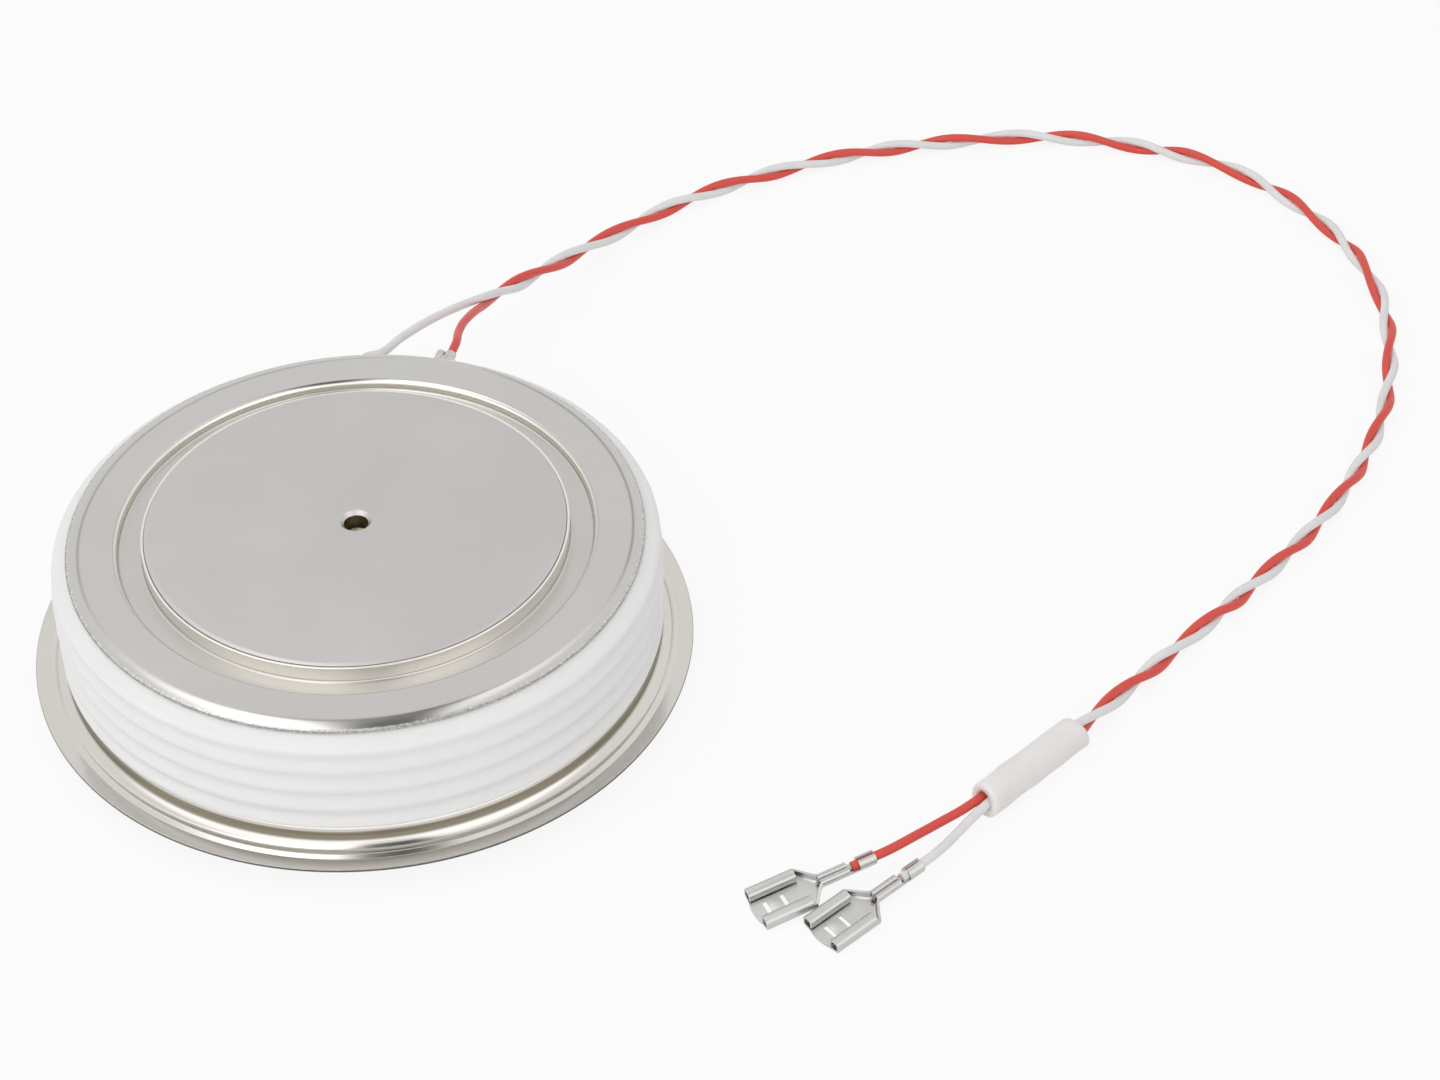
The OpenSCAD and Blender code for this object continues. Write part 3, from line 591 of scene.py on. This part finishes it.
POLE_R = 31.3
SHEET_T = 0.4
FIT = 0.05
TROUGH_R = 35.75
TROUGH_DEPTH = 1.5
TROUGH_COLLAR_H = 2.6
TROUGH_BEND = 0.6
RING_Z = 24.5
RIM_Z = 3.7
FLANGE_R = 50
LOWER_FLANGE_R = 49.6
ROLL_ANGLE = math.radians(26)
CERAMIC_R = 45.6
CERAMIC_BORE_R = 38.5
CERAMIC_TOP = 24.1
CERAMIC_BOTTOM = 7.3
SHOULDER_R = 4.8
SHOULDER_FROM = 40.5
NOSE_R = 2
LOWER_EDGE_R = 0.8
FIRST_GROOVE_Z = 20.5
GROOVE_PITCH = 3.65
GROOVE_DEPTH = 0.7
GROOVE_COUNT = 4
COLLAR_INSET = 0.5
SEAT_INSET = 1
FOOT_BEND = 2
STEP_FROM = 47.05
STEP_TO = 47.8
STEP_H = 0.3
STEP_BEND = 0.5
CORNER_ROUND = 0.1
CORNER_TURN = 1
LONG_SIDE = 0.8
TUBE_HOLE_D = 2.1
DRILL_L = 20
DRILL_SIDES = 48

# Steps round the axis, in a bend, a corner, the ceramic's edge, its nose and its wall
TURN_STEPS = 288
BEND_STEPS = 10
CORNER_STEPS = 4
EDGE_STEPS = 8
NOSE_STEPS = 16
WALL_STEPS = 80


def left_of(way):
    return Vector((-way.y, way.x))


def turned(way, angle):
    c, s = math.cos(angle), math.sin(angle)
    return Vector((way.x * c - way.y * s, way.x * s + way.y * c))


def arc(centre, radius, start, end, steps):
    angles = [math.radians(start + (end - start) * i / steps) for i in range(steps + 1)]
    return [Vector(centre) + radius * Vector((math.cos(a), math.sin(a))) for a in angles]


def corner_at(a, b, c, bend):
    """The way into the corner b, the turn there, its side, and the centre of a bend in it."""
    into, out = (b - a).normalized(), (c - b).normalized()
    turn = math.atan2(into.x * out.y - into.y * out.x, into.dot(out))
    side = math.copysign(1, turn)
    centre = b - into * bend * math.tan(abs(turn) / 2) + side * bend * left_of(into)
    return into, turn, side, centre


def bent_side(line, bends, shift):
    """One face of a sheet that is bent at each inner point of its middle line."""
    points = [line[0] + shift * left_of((line[1] - line[0]).normalized())]
    for a, b, c, bend in zip(line, line[1:], line[2:], bends):
        into, turn, side, centre = corner_at(a, b, c, bend)
        for i in range(BEND_STEPS + 1):
            spoke = turned(left_of(into), turn * i / BEND_STEPS)
            points.append(centre - side * (bend - side * shift) * spoke)
    return points + [line[-1] + shift * left_of((line[-1] - line[-2]).normalized())]


def bent_sheet(line, bends):
    line = [Vector(p) for p in line]
    return bent_side(line, bends, SHEET_T / 2) + bent_side(line, bends, -SHEET_T / 2)[::-1]


def trough_line(flat_z, way):
    """From the brazing collar on the pole, through the trough, to the flat."""
    collar_r, wall_r = POLE_R + FIT + SHEET_T / 2, TROUGH_R - SHEET_T / 2
    floor_z = flat_z - way * TROUGH_DEPTH
    collar_z = floor_z + way * (SHEET_T / 2 + TROUGH_COLLAR_H)
    return [(collar_r, collar_z), (collar_r, floor_z), (wall_r, floor_z), (wall_r, flat_z)]


def upper_flange_outline():
    flat_z = RING_Z - SHEET_T / 2
    bend = SHOULDER_R + FIT + SHEET_T / 2
    reach = bend * math.tan(ROLL_ANGLE / 2)
    corner_r = SHOULDER_FROM + 3 * FIT + reach
    lip = reach + FIT
    edge = (corner_r + lip * math.cos(ROLL_ANGLE), flat_z - lip * math.sin(ROLL_ANGLE))
    return bent_sheet(trough_line(flat_z, 1) + [(corner_r, flat_z), edge], [TROUGH_BEND] * 3 + [bend])


def weld_rim_outline():
    seat_z, flat_z = CERAMIC_BOTTOM - SHEET_T / 2, RIM_Z - SHEET_T / 2
    wall_r = CERAMIC_R - COLLAR_INSET - SHEET_T / 2
    line = [(CERAMIC_BORE_R + SEAT_INSET, seat_z), (wall_r, seat_z), (wall_r, flat_z + STEP_H),
            (STEP_FROM, flat_z + STEP_H), (STEP_TO, flat_z), (FLANGE_R, flat_z)]
    return bent_sheet(line, [TROUGH_BEND, FOOT_BEND, STEP_BEND, STEP_BEND])


def lower_flange_outline():
    flat_z = RIM_Z - SHEET_T * 3 / 2
    return bent_sheet(trough_line(flat_z, -1) + [(LOWER_FLANGE_R, flat_z)], [TROUGH_BEND] * 3)


def glazed_ring_outline():
    slope = math.degrees(ROLL_ANGLE)
    shoulder_at = (SHOULDER_FROM, CERAMIC_TOP - SHOULDER_R)
    shoulder = arc(shoulder_at, SHOULDER_R, 90 - slope, 90, EDGE_STEPS)
    nose_r = CERAMIC_R - NOSE_R + NOSE_R * math.sin(ROLL_ANGLE)
    nose_z = shoulder[0].y - (nose_r - shoulder[0].x) * math.tan(ROLL_ANGLE)
    wall_from = CERAMIC_BOTTOM + LOWER_EDGE_R
    wall_to = nose_z - NOSE_R * math.cos(ROLL_ANGLE)
    wall_step = (wall_to - wall_from) / WALL_STEPS
    wall = arc((CERAMIC_R - LOWER_EDGE_R, wall_from), LOWER_EDGE_R, -90, 0, EDGE_STEPS)
    wall += [Vector((CERAMIC_R, wall_from + wall_step * i)) for i in range(1, WALL_STEPS)]
    wall += arc((CERAMIC_R - NOSE_R, wall_to), NOSE_R, 0, 90 - slope, NOSE_STEPS) + shoulder
    for point in wall:
        turns = (FIRST_GROOVE_Z - point.y) / GROOVE_PITCH
        if -0.5 <= turns <= GROOVE_COUNT - 0.5:
            point.x -= GROOVE_DEPTH / 2 * (1 + math.cos(2 * math.pi * turns))
    return [Vector((CERAMIC_BORE_R, CERAMIC_TOP)), Vector((CERAMIC_BORE_R, CERAMIC_BOTTOM))] + wall


def eased(outline):
    """The outline with its sharp corners rounded, and with a point close to each end of a long side."""
    smooth = []
    for a, b, c in zip(outline[-1:] + outline[:-1], outline, outline[1:] + outline[:1]):
        into, turn, side, centre = corner_at(a, b, c, CORNER_ROUND)
        if abs(turn) < CORNER_TURN:
            smooth.append(b)
            continue
        for i in range(CORNER_STEPS + 1):
            smooth.append(centre - side * CORNER_ROUND * turned(left_of(into), turn * i / CORNER_STEPS))
    held = []
    for a, b in zip(smooth, smooth[1:] + smooth[:1]):
        held.append(a)
        if (b - a).length > LONG_SIDE:
            step = (b - a).normalized() * CORNER_ROUND / 2
            held += [a + step, b - step]
    return held


def smooth_data(name, mesh):
    """The smooth data of a piece from its mesh."""
    data = bpy.data.meshes.new(name)
    mesh.to_mesh(data)
    mesh.free()
    data.shade_smooth()
    return data


def close_rings(mesh, rings):
    """Joins rings of points, each to the next and the last to the first."""
    for ring, after in zip(rings, rings[1:] + rings[:1]):
        for i in range(len(ring)):
            mesh.faces.new((ring[i - 1], after[i - 1], after[i], ring[i]))
    bmesh.ops.recalc_face_normals(mesh, faces=mesh.faces)


def turn_piece(name, outline, node, finish):
    """A piece whose outline is carried once round the axis."""
    mesh = bmesh.new()
    outline = eased(outline)
    rows = []
    for k in range(TURN_STEPS):
        a = 2 * math.pi * k / TURN_STEPS
        row = [(r * math.cos(a) * MM, r * math.sin(a) * MM, z * MM) for r, z in outline]
        rows.append([mesh.verts.new(at) for at in row])
    close_rings(mesh, rows)
    piece = add_piece(name, smooth_data(name, mesh), node)
    dress(piece, finish)
    return piece


def drill(piece, crimps):
    """Cuts the holes of the side tubes through a turned piece."""
    mesh = bmesh.new()
    size = TUBE_HOLE_D / 2 * MM
    for angle, z in crimps:
        spin = Matrix.Rotation(math.radians(angle), 4, "Z") @ Matrix.Translation((CERAMIC_R * MM, 0, z * MM))
        spin = spin @ Matrix.Rotation(math.pi / 2, 4, "Y")
        bmesh.ops.create_cone(
            mesh, cap_ends=True, segments=DRILL_SIDES, radius1=size, radius2=size, depth=DRILL_L * MM,
            matrix=spin)
    data = bpy.data.meshes.new("drill")
    mesh.to_mesh(data)
    mesh.free()
    tool = bpy.data.objects.new("drill", data)
    scene.collection.objects.link(tool)
    cut = piece.modifiers.new("tube_holes", "BOOLEAN")
    cut.object = tool
    cut.solver = "EXACT"
    whole = bpy.data.meshes.new_from_object(piece.evaluated_get(bpy.context.evaluated_depsgraph_get()))
    piece.modifiers.remove(cut)
    piece.data = whole
    bpy.data.objects.remove(tool)


glazed_ring = turn_piece("glazed_ring", glazed_ring_outline(), "ceramic_ring", "ceramic")
drill(glazed_ring, (RED_CRIMP, WHITE_CRIMP))
turn_piece("upper_flange", upper_flange_outline(), "cathode_flange", "brazed_sheet")
turn_piece("weld_rim", weld_rim_outline(), "weld_ring", "welded_sheet")
turn_piece("lower_flange", lower_flange_outline(), "anode_flange", "flange_nickel")


# Crimped end behind the capsule, with the red wire in one of its two lobes

CRIMP_FROM = 45.6
LOBE_FROM = 47
LOBE_TO = 49.3
LOBE_SPACING = 1.6
SOCKET_OVERLAP = 0.4
TUBE_RIM = 0.1
TUBE_SPOKES = 32

# Outer and inner radius of each tube
SOCKET_RADII = (1.32, 1.05)
RED_LOBE_RADII = (0.92, 0.72)
EMPTY_LOBE_RADII = (0.74, 0.4)


def add_tube(mesh, start, end, outer, inner):
    """A short tube with rounded rims between two points."""
    way = (end - start).normalized()
    left = UP.cross(way).normalized()
    above = way.cross(left)
    length = (end - start).length
    rim = min(TUBE_RIM, (outer - inner) / 2)
    ease = rim * (1 - math.sqrt(0.5))
    rows = [(rim, inner), (ease, inner + ease), (0, inner + rim)]
    rows += [(0, outer - rim), (ease, outer - ease), (rim, outer)]
    rows += [(length - along, radius) for along, radius in rows[::-1]]
    spokes = []
    for k in range(TUBE_SPOKES):
        a = 2 * math.pi * k / TUBE_SPOKES
        spokes.append(math.cos(a) * left + math.sin(a) * above)
    rings = [[mesh.verts.new((start + way * along + radius * spoke) * MM) for spoke in spokes]
             for along, radius in rows]
    close_rings(mesh, rings)


def make_crimped_end():
    angle, z = math.radians(RED_CRIMP[0]), RED_CRIMP[1]
    out = Vector((math.cos(angle), math.sin(angle), 0))
    axis = Vector((0, 0, z))
    beside = axis + UP.cross(out) * LOBE_SPACING
    mesh = bmesh.new()
    add_tube(mesh, axis + out * CRIMP_FROM, axis + out * (LOBE_FROM + SOCKET_OVERLAP), *SOCKET_RADII)
    add_tube(mesh, axis + out * LOBE_FROM, axis + out * LOBE_TO, *RED_LOBE_RADII)
    add_tube(mesh, beside + out * LOBE_FROM, beside + out * LOBE_TO, *EMPTY_LOBE_RADII)
    piece = add_piece("crimped_end", smooth_data("crimped_end", mesh), "cathode_crimp")
    dress(piece, "tube_nickel")
    return piece


crimped_end = make_crimped_end()


# Push-on terminals, each formed from one sheet, in millimetres along, to the left and up from the mouth

TERMINAL_T = 0.35
SIDE_W = 3.575
SIDE_H = 0.95
SIDE_BEND = 0.4
WALL_MARGIN = 0.01
ROLL_L = 7.9
ROLL_TOP = 1.6
ROLL_BEND = 0.6
ROLL_ARC = (85, 0)
ROLL_BACK = 0.5
CURL_W = 2.6
CURL_BEND = 0.55
CURL_ARC = (180, 95)
CURL_DROP = 0.08
CURL_LEAN = 0.02
CURL_STRAIGHT = 0.95
CURL_END = 0.42
LIP = 0.45
LIP_HALF = 2.6
LIP_FROM = 0.5
ROLL_STATIONS = (0, 0.4, 0.9, 2.6, 3.1, 3.6, 5.6, 6.4, 7.2, ROLL_L)
WINDOWS = ((1.4, 2.1), (4.1, 4.8))
WINDOW_HALF = 1.2
WINDOW_COLUMNS = range(9, 13)
TONGUE_RISE = 0.12
FLOOR_SHARES = (0.756, 0.378, 0.189, 0)
NECK_TO = 10.1
NECK_HALF = 0.8
NECK_TAPER = 1.15
NECK_WALL = 0.35
NECK_BEND = 0.3
NECK_SCOOP = 1.2
SPINE_HALF = 0.72
SPINE_H = 0.6
SPINE_BEND = 0.5
SPINE_OVERLAP = 0.3
BARREL_TO = 14.5
BARREL_OVERLAP = 0.15
BARREL_R = 0.84
BARREL_Z = 0.82
WING_AT = (0.52, 1.0)
WING_R = 0.32
WING_END = 215
GRIP_FROM = 16.1
GRIP_TO = 18.8
GRIP_R = 0.9
GRIP_OPENING = 76

# Steps of the bends and along the straight lengths
FOOT_STEPS = 5
ROLL_STEPS = 6
WING_STEPS = 12
BARREL_STEPS = 8
GRIP_STEPS = 12
NECK_STEPS = 7
STRAIGHT_STEPS = 4


def mirrored(half):
    """A section from its left half, which ends at the middle."""
    return half + [Vector((-p.x, p.y)) for p in half[-2::-1]]


def trough_half(width, height, bend):
    """Left half of a floor with a wall, from the wall's top to the middle of the floor."""
    wall = [Vector((width, height)), Vector((width, (height + bend) / 2))]
    foot = arc((width - bend, bend), bend, 0, -90, FOOT_STEPS)
    return wall + foot + [Vector((share * (width - bend), 0)) for share in FLOOR_SHARES]


def roll_half():
    """Left roll, from its inner edge over its top to the wall below it."""
    inner_w = CURL_W - CURL_BEND
    curl = [Vector((inner_w + CURL_LEAN, CURL_END)), Vector((inner_w, CURL_STRAIGHT))]
    curl += arc((CURL_W, ROLL_TOP - CURL_BEND - CURL_DROP), CURL_BEND, *CURL_ARC, ROLL_STEPS)
    return curl + arc((SIDE_W - ROLL_BEND, ROLL_TOP - ROLL_BEND), ROLL_BEND, *ROLL_ARC, ROLL_STEPS)


def barrel_half():
    """Left half of the conductor barrel, from the wing's edge in the middle to the middle of its bottom."""
    return arc(WING_AT, WING_R, WING_END, 0, WING_STEPS) + arc((0, BARREL_Z), BARREL_R, 0, -90, BARREL_STEPS)


def grip_half():
    return arc((0, WIRE_Z - TERMINAL_T / 2), GRIP_R, GRIP_OPENING, -90, GRIP_STEPS)


def roll_point(station, point):
    """A point of the roll, whose back end slopes forward from the wall to its top."""
    on_wall = point.x > SIDE_W - WALL_MARGIN
    share = point.y - SIDE_H if on_wall else 1
    return station * (1 - share * ROLL_BACK / ROLL_L), point.x, point.y


def floor_point(station, point):
    """A point of the floor, with the lip at the mouth and the raised tongue between the windows."""
    along, up = station, point.y
    if abs(point.x) < LIP_HALF and station < LIP_FROM:
        along -= LIP * (1 - (point.x / LIP_HALF) ** 2) * (1 - station / LIP_FROM)
    if abs(point.x) < WINDOW_HALF and WINDOWS[0][1] < station < WINDOWS[1][0]:
        up += TONGUE_RISE * math.cos(math.pi / 2 * point.x / WINDOW_HALF)
    return along, point.x, up


def receptacle_rows():
    """Sections of the rolled receptacle, and the places in them where its windows are cut."""
    roll = roll_half()
    trough = mirrored(trough_half(SIDE_W, SIDE_H, SIDE_BEND))
    stations = sorted([*ROLL_STATIONS, *WINDOWS[0], *WINDOWS[1]])
    rows = []
    for station in stations:
        left_roll = [roll_point(station, p) for p in roll]
        right_roll = [(s, -v, w) for s, v, w in left_roll[::-1]]
        rows.append(left_roll + [floor_point(station, p) for p in trough] + right_roll)
    cut = {(stations.index(start), len(roll) + j) for start, _ in WINDOWS for j in WINDOW_COLUMNS}
    return rows, cut


def neck_rows():
    """Sections of the scooped neck, from the receptacle's back to the barrel."""
    rows = []
    for i in range(NECK_STEPS + 1):
        t = i / NECK_STEPS
        width = NECK_HALF + (SIDE_W - NECK_HALF) * (1 - t) ** NECK_TAPER
        bend = SIDE_BEND + NECK_BEND * t + NECK_SCOOP * t * (1 - t)
        half = trough_half(width, SIDE_H + NECK_WALL * t, bend)
        rows.append([(ROLL_L + (NECK_TO - ROLL_L) * t, p.x, p.y) for p in mirrored(half)])
    return rows


def straight_rows(half, start, end):
    section = mirrored(half)
    step = (end - start) / STRAIGHT_STEPS
    return [[(start + step * i, p.x, p.y) for p in section] for i in range(STRAIGHT_STEPS + 1)]


def form_terminal(name, terminal, node):
    mouth, along, left, above = terminal_frame(terminal)
    mesh = bmesh.new()

    def add_sheet(rows, cut=()):
        corners = [[mesh.verts.new((mouth + s * along + v * left + (w + TERMINAL_T / 2) * above) * MM)
                    for s, v, w in row] for row in rows]
        for i, (row, after) in enumerate(zip(corners, corners[1:])):
            for j in range(len(row) - 1):
                if (i, j) not in cut:
                    mesh.faces.new((row[j], row[j + 1], after[j + 1], after[j]))

    spine = trough_half(SPINE_HALF, SPINE_H, SPINE_BEND)
    add_sheet(*receptacle_rows())
    add_sheet(neck_rows())
    add_sheet(straight_rows(barrel_half(), NECK_TO - BARREL_OVERLAP, BARREL_TO))
    add_sheet(straight_rows(spine, NECK_TO, GRIP_FROM + SPINE_OVERLAP))
    add_sheet(straight_rows(grip_half(), GRIP_FROM, GRIP_TO))
    bmesh.ops.remove_doubles(mesh, verts=mesh.verts, dist=SAME_PLACE)
    loose = [v for v in mesh.verts if not v.link_faces]
    bmesh.ops.delete(mesh, geom=loose, context="VERTS")
    piece = add_piece(name, smooth_data(name, mesh), node)
    dress(piece, "tinned_brass")
    sheet = piece.modifiers.new("sheet", "SOLIDIFY")
    sheet.thickness = TERMINAL_T * MM
    sheet.offset = 0
    sheet.use_even_offset = True
    shade_smooth(piece)
    return piece


red_push_on = form_terminal("red_push_on", RED_TERMINAL, "red_terminal")
white_push_on = form_terminal("white_push_on", WHITE_TERMINAL, "white_terminal")


# Bare strands in the terminals' barrels

STRANDS = 7
STRAND_D = 0.23
STRAND_ROUNDNESS = 3
STRAND_FROM = 9.5
STRAND_TO = 15.75
STRAND_STEPS = 24
STRAND_TURN = math.radians(50)
CUT_UNEVEN = 0.25
CUT_STAGGER = 5
BRUSH_SPREAD = 0.45
BRUSH_SHARE = 0.125


def lay_strands(name, terminal, node):
    """Twisted strands whose cut ends spread a little like a brush in front of the barrel."""
    curve = cord_curve(name, STRAND_ROUNDNESS)
    mouth, along, left, above = terminal_frame(terminal)
    for k in range(STRANDS):
        start = STRAND_FROM + CUT_UNEVEN * math.sin(CUT_STAGGER * k) ** 2
        line = []
        for i in range(STRAND_STEPS + 1):
            t = i / STRAND_STEPS
            spread = STRAND_D * (1 + BRUSH_SPREAD * max(0, 1 - t / BRUSH_SHARE)) if k else 0
            angle = 2 * math.pi * k / (STRANDS - 1) + STRAND_TURN * t
            at = mouth + (start + (STRAND_TO - start) * t) * along + STRAND_Z * above
            line.append(at + spread * (math.cos(angle) * left + math.sin(angle) * above))
        add_line(curve, line, STRAND_D)
    strands = add_piece(name, curve, node)
    dress(strands, "strand_copper")
    return strands


red_strands = lay_strands("red_strands", RED_TERMINAL, "red_conductor")
white_strands = lay_strands("white_strands", WHITE_TERMINAL, "white_conductor")


# Soft sleeve where the pair ends

SLEEVE_R = 2.72
SLEEVE_BORE_R = 1.5
SLEEVE_EDGE = 0.2
SLEEVE_SLANT = 0.35
SLANT_TURN = 0.6
SLEEVE_UNEVEN = 0.06
SLEEVE_WAVES = 0.25
SLEEVE_SHRINK = 0.02
SLEEVE_SPOKES = 40
SLEEVE_STEPS = 26


def make_sleeve():
    """A soft tube with slanted ends that is a little uneven along its length."""
    mesh = bmesh.new()
    across = UP.cross(SLEEVE_DIR)

    def ring_at(along, radius, slant):
        ring = []
        for k in range(SLEEVE_SPOKES):
            a = 2 * math.pi * k / SLEEVE_SPOKES
            uneven = SLEEVE_UNEVEN * noise.noise(Vector((math.cos(a), math.sin(a), along * SLEEVE_WAVES)))
            r = radius * (1 + uneven - SLEEVE_SHRINK)
            shift = slant * math.cos(a - SLANT_TURN)
            at = SLEEVE_AT + SLEEVE_DIR * (along + shift) + r * (math.cos(a) * across + math.sin(a) * UP)
            ring.append(mesh.verts.new(at * MM))
        return ring

    near, far = SLEEVE_SLANT, SLEEVE_L - SLEEVE_SLANT
    shoulder_r = SLEEVE_R - SLEEVE_EDGE
    rows = [(near, SLEEVE_BORE_R, SLEEVE_SLANT), (near, shoulder_r, SLEEVE_SLANT)]
    for i in range(SLEEVE_STEPS + 1):
        t = i / SLEEVE_STEPS
        along = near + SLEEVE_EDGE + (far - near - 2 * SLEEVE_EDGE) * t
        rows.append((along, SLEEVE_R, SLEEVE_SLANT * (1 - 2 * t)))
    rows += [(far, shoulder_r, -SLEEVE_SLANT), (far, SLEEVE_BORE_R, -SLEEVE_SLANT)]
    close_rings(mesh, [ring_at(*row) for row in rows])
    sleeve = add_piece("soft_sleeve", smooth_data("soft_sleeve", mesh), "wire_sleeve")
    dress(sleeve, "sleeve_rubber")
    return sleeve


soft_sleeve = make_sleeve()


# Floor

FLOOR_HALF = 3.0
FLOOR_LIFT = 0.86
FLOOR_TONE = (0.92, 0.92, 0.92, 1)
FLOOR_ROUGHNESS = 0.9
FLOOR_GLOSS = 0.1
WHITE = (1, 1, 1, 1)


def make_floor():
    mesh = bmesh.new()
    corners = [(-1, -1), (1, -1), (1, 1), (-1, 1)]
    mesh.faces.new([mesh.verts.new((x * FLOOR_HALF, y * FLOOR_HALF, 0)) for x, y in corners])
    data = bpy.data.meshes.new("floor")
    mesh.to_mesh(data)
    mesh.free()
    floor = bpy.data.objects.new("floor", data)
    scene.collection.objects.link(floor)
    material, sheet, shader = new_finish("pale_floor")
    shader.inputs["Base Color"].default_value = FLOOR_TONE
    shader.inputs["Roughness"].default_value = FLOOR_ROUGHNESS
    shader.inputs["Specular IOR Level"].default_value = FLOOR_GLOSS
    rays = sheet.add("ShaderNodeLightPath")
    seen = sheet.math("MAXIMUM", rays.outputs["Is Camera Ray"], rays.outputs["Is Transmission Ray"])
    seen = sheet.math("MAXIMUM", seen, rays.outputs["Is Glossy Ray"])
    white = sheet.add("ShaderNodeEmission", {"Color": WHITE, "Strength": 1.0})
    mixed = sheet.add("ShaderNodeMixShader", {0: sheet.math("MULTIPLY", seen, FLOOR_LIFT)})
    sheet.link(shader.outputs[0], mixed.inputs[1])
    sheet.link(white.outputs[0], mixed.inputs[2])
    sheet.link(mixed.outputs[0], material.node_tree.nodes["Material Output"].inputs["Surface"])
    data.materials.append(material)


# Light tent. Side and back are the slopes of a direction from straight up, and pairs are the ends of a fade

TENT_LEVEL = 0.58
TOP_BOX_LEVEL = 2.4
TOP_BOX_RISE = (0.75, 0.82)
TOP_BOX_LEFT = (-0.55, -0.3)
TOP_BOX_RIGHT = (-0.1, 0.25)
FRONT_BOX_LEVEL = 1.6
FRONT_BOX_BACK = (0.0, -0.3)
FRONT_BOX_RISE = (0.1, 0.3)
BOX_MIDDLE = -0.165
BOX_EDGE_LEVEL = 0.5
BOX_EDGE_INSIDE = (0.24, 0.28)
BOX_EDGE_OUTSIDE = (0.36, 0.42)
BOX_EDGE_FRONT = (0.95, 1.05)
GAP_LEVEL = 0.03
GAP_SLANT = 0.16
GAP_SHIFT = 0.02
GAP_SIDES = (0.09, 0.16)
GAP_WIDTHS = (-1, 0.6, 1.5, 0.65)
GAP_BACK = (0.92, 0.8)
GAP_FRONT = (-0.9, -0.5)
GAP_FRONT_SHARE = 0.35
GAP_LOWEST = 0.5

# Soft lamps: place, aim, width and power
PANELS = {
    "top_panel": ((-0.15, 0.1, 1.1), (0.05, 0.03, 0), 1.2, 2.4),
    "front_panel": ((-0.1, -0.8, 0.7), (0.03, 0.0, 0), 0.7, 2.3),
    "left_panel": ((-1.0, -0.1, 0.7), (0.03, 0.03, 0), 0.8, 1.0),
}


def add_boxes(sheet, y, z, side, back):
    """Level of the brighter boxes overhead and in front, with darker lines beside the upper one."""
    overhead = sheet.both(sheet.spread(z, *TOP_BOX_RISE, 0, TOP_BOX_LEVEL - 1),
                          sheet.spread(side, *TOP_BOX_LEFT), sheet.spread(side, *TOP_BOX_RIGHT, 1, 0))
    ahead = sheet.both(sheet.spread(y, *FRONT_BOX_BACK, 0, FRONT_BOX_LEVEL - 1),
                       sheet.spread(z, *FRONT_BOX_RISE))
    boxes = sheet.math("ADD", sheet.math("MAXIMUM", overhead, ahead), 1.0)
    from_middle = sheet.math("ABSOLUTE", sheet.math("SUBTRACT", side, BOX_MIDDLE))
    edge = sheet.both(sheet.spread(from_middle, *BOX_EDGE_INSIDE),
                      sheet.spread(from_middle, *BOX_EDGE_OUTSIDE, 1, 0),
                      sheet.spread(back, *BOX_EDGE_FRONT))
    return sheet.both(boxes, sheet.spread(edge, 0, 1, 1, BOX_EDGE_LEVEL))


def add_gap(sheet, z, side, back):
    """Mask of the dark strip between the boxes, which runs from front to back."""
    across = sheet.math("ADD", side, sheet.math("MULTIPLY", back, GAP_SLANT))
    from_gap = sheet.math("ABSOLUTE", sheet.math("SUBTRACT", across, GAP_SHIFT))
    width = sheet.spread(back, *GAP_WIDTHS)
    strip = sheet.spread(sheet.math("DIVIDE", from_gap, width), *GAP_SIDES, 1, 0)
    return sheet.both(strip, sheet.spread(back, *GAP_BACK),
                      sheet.spread(back, *GAP_FRONT, GAP_FRONT_SHARE, 1),
                      sheet.math("GREATER_THAN", z, GAP_LOWEST))


def make_world():
    """White to the eye. Metal also sees brighter boxes overhead and in front, and a dark strip."""
    world = bpy.data.worlds.new("light_tent")
    scene.world = world
    world.use_nodes = True
    sheet = NodeSheet(world.node_tree)
    x, y, z = sheet.add("ShaderNodeSeparateXYZ", {0: sheet.place("Generated")}).outputs
    side, back = sheet.math("DIVIDE", x, z), sheet.math("DIVIDE", y, z)
    boxes = add_boxes(sheet, y, z, side, back)
    in_metal = sheet.both(boxes, sheet.spread(add_gap(sheet, z, side, back), 0, 1, 1, GAP_LEVEL))
    rays = sheet.add("ShaderNodeLightPath")
    glossy = rays.outputs["Is Glossy Ray"]
    seen = sheet.math("MAXIMUM", rays.outputs["Is Camera Ray"], rays.outputs["Is Transmission Ray"])
    level = sheet.both(sheet.math("SUBTRACT", 1.0, glossy), sheet.spread(seen, 0, 1, TENT_LEVEL, 1.0))
    background = world.node_tree.nodes["Background"]
    background.inputs["Color"].default_value = WHITE
    sheet.link(sheet.math("ADD", sheet.both(glossy, in_metal), level), background.inputs["Strength"])


def add_panel(name, at, aim, width, power):
    data = bpy.data.lights.new(name, "AREA")
    data.shape = "SQUARE"
    data.size = width
    data.energy = power
    lamp = bpy.data.objects.new(name, data)
    lamp.location = at
    lamp.rotation_euler = (Vector(aim) - Vector(at)).to_track_quat("-Z", "Y").to_euler()
    lamp.visible_glossy = False
    scene.collection.objects.link(lamp)


make_floor()
make_world()
for name, values in PANELS.items():
    add_panel(name, *values)

scene.view_settings.view_transform = "Standard"
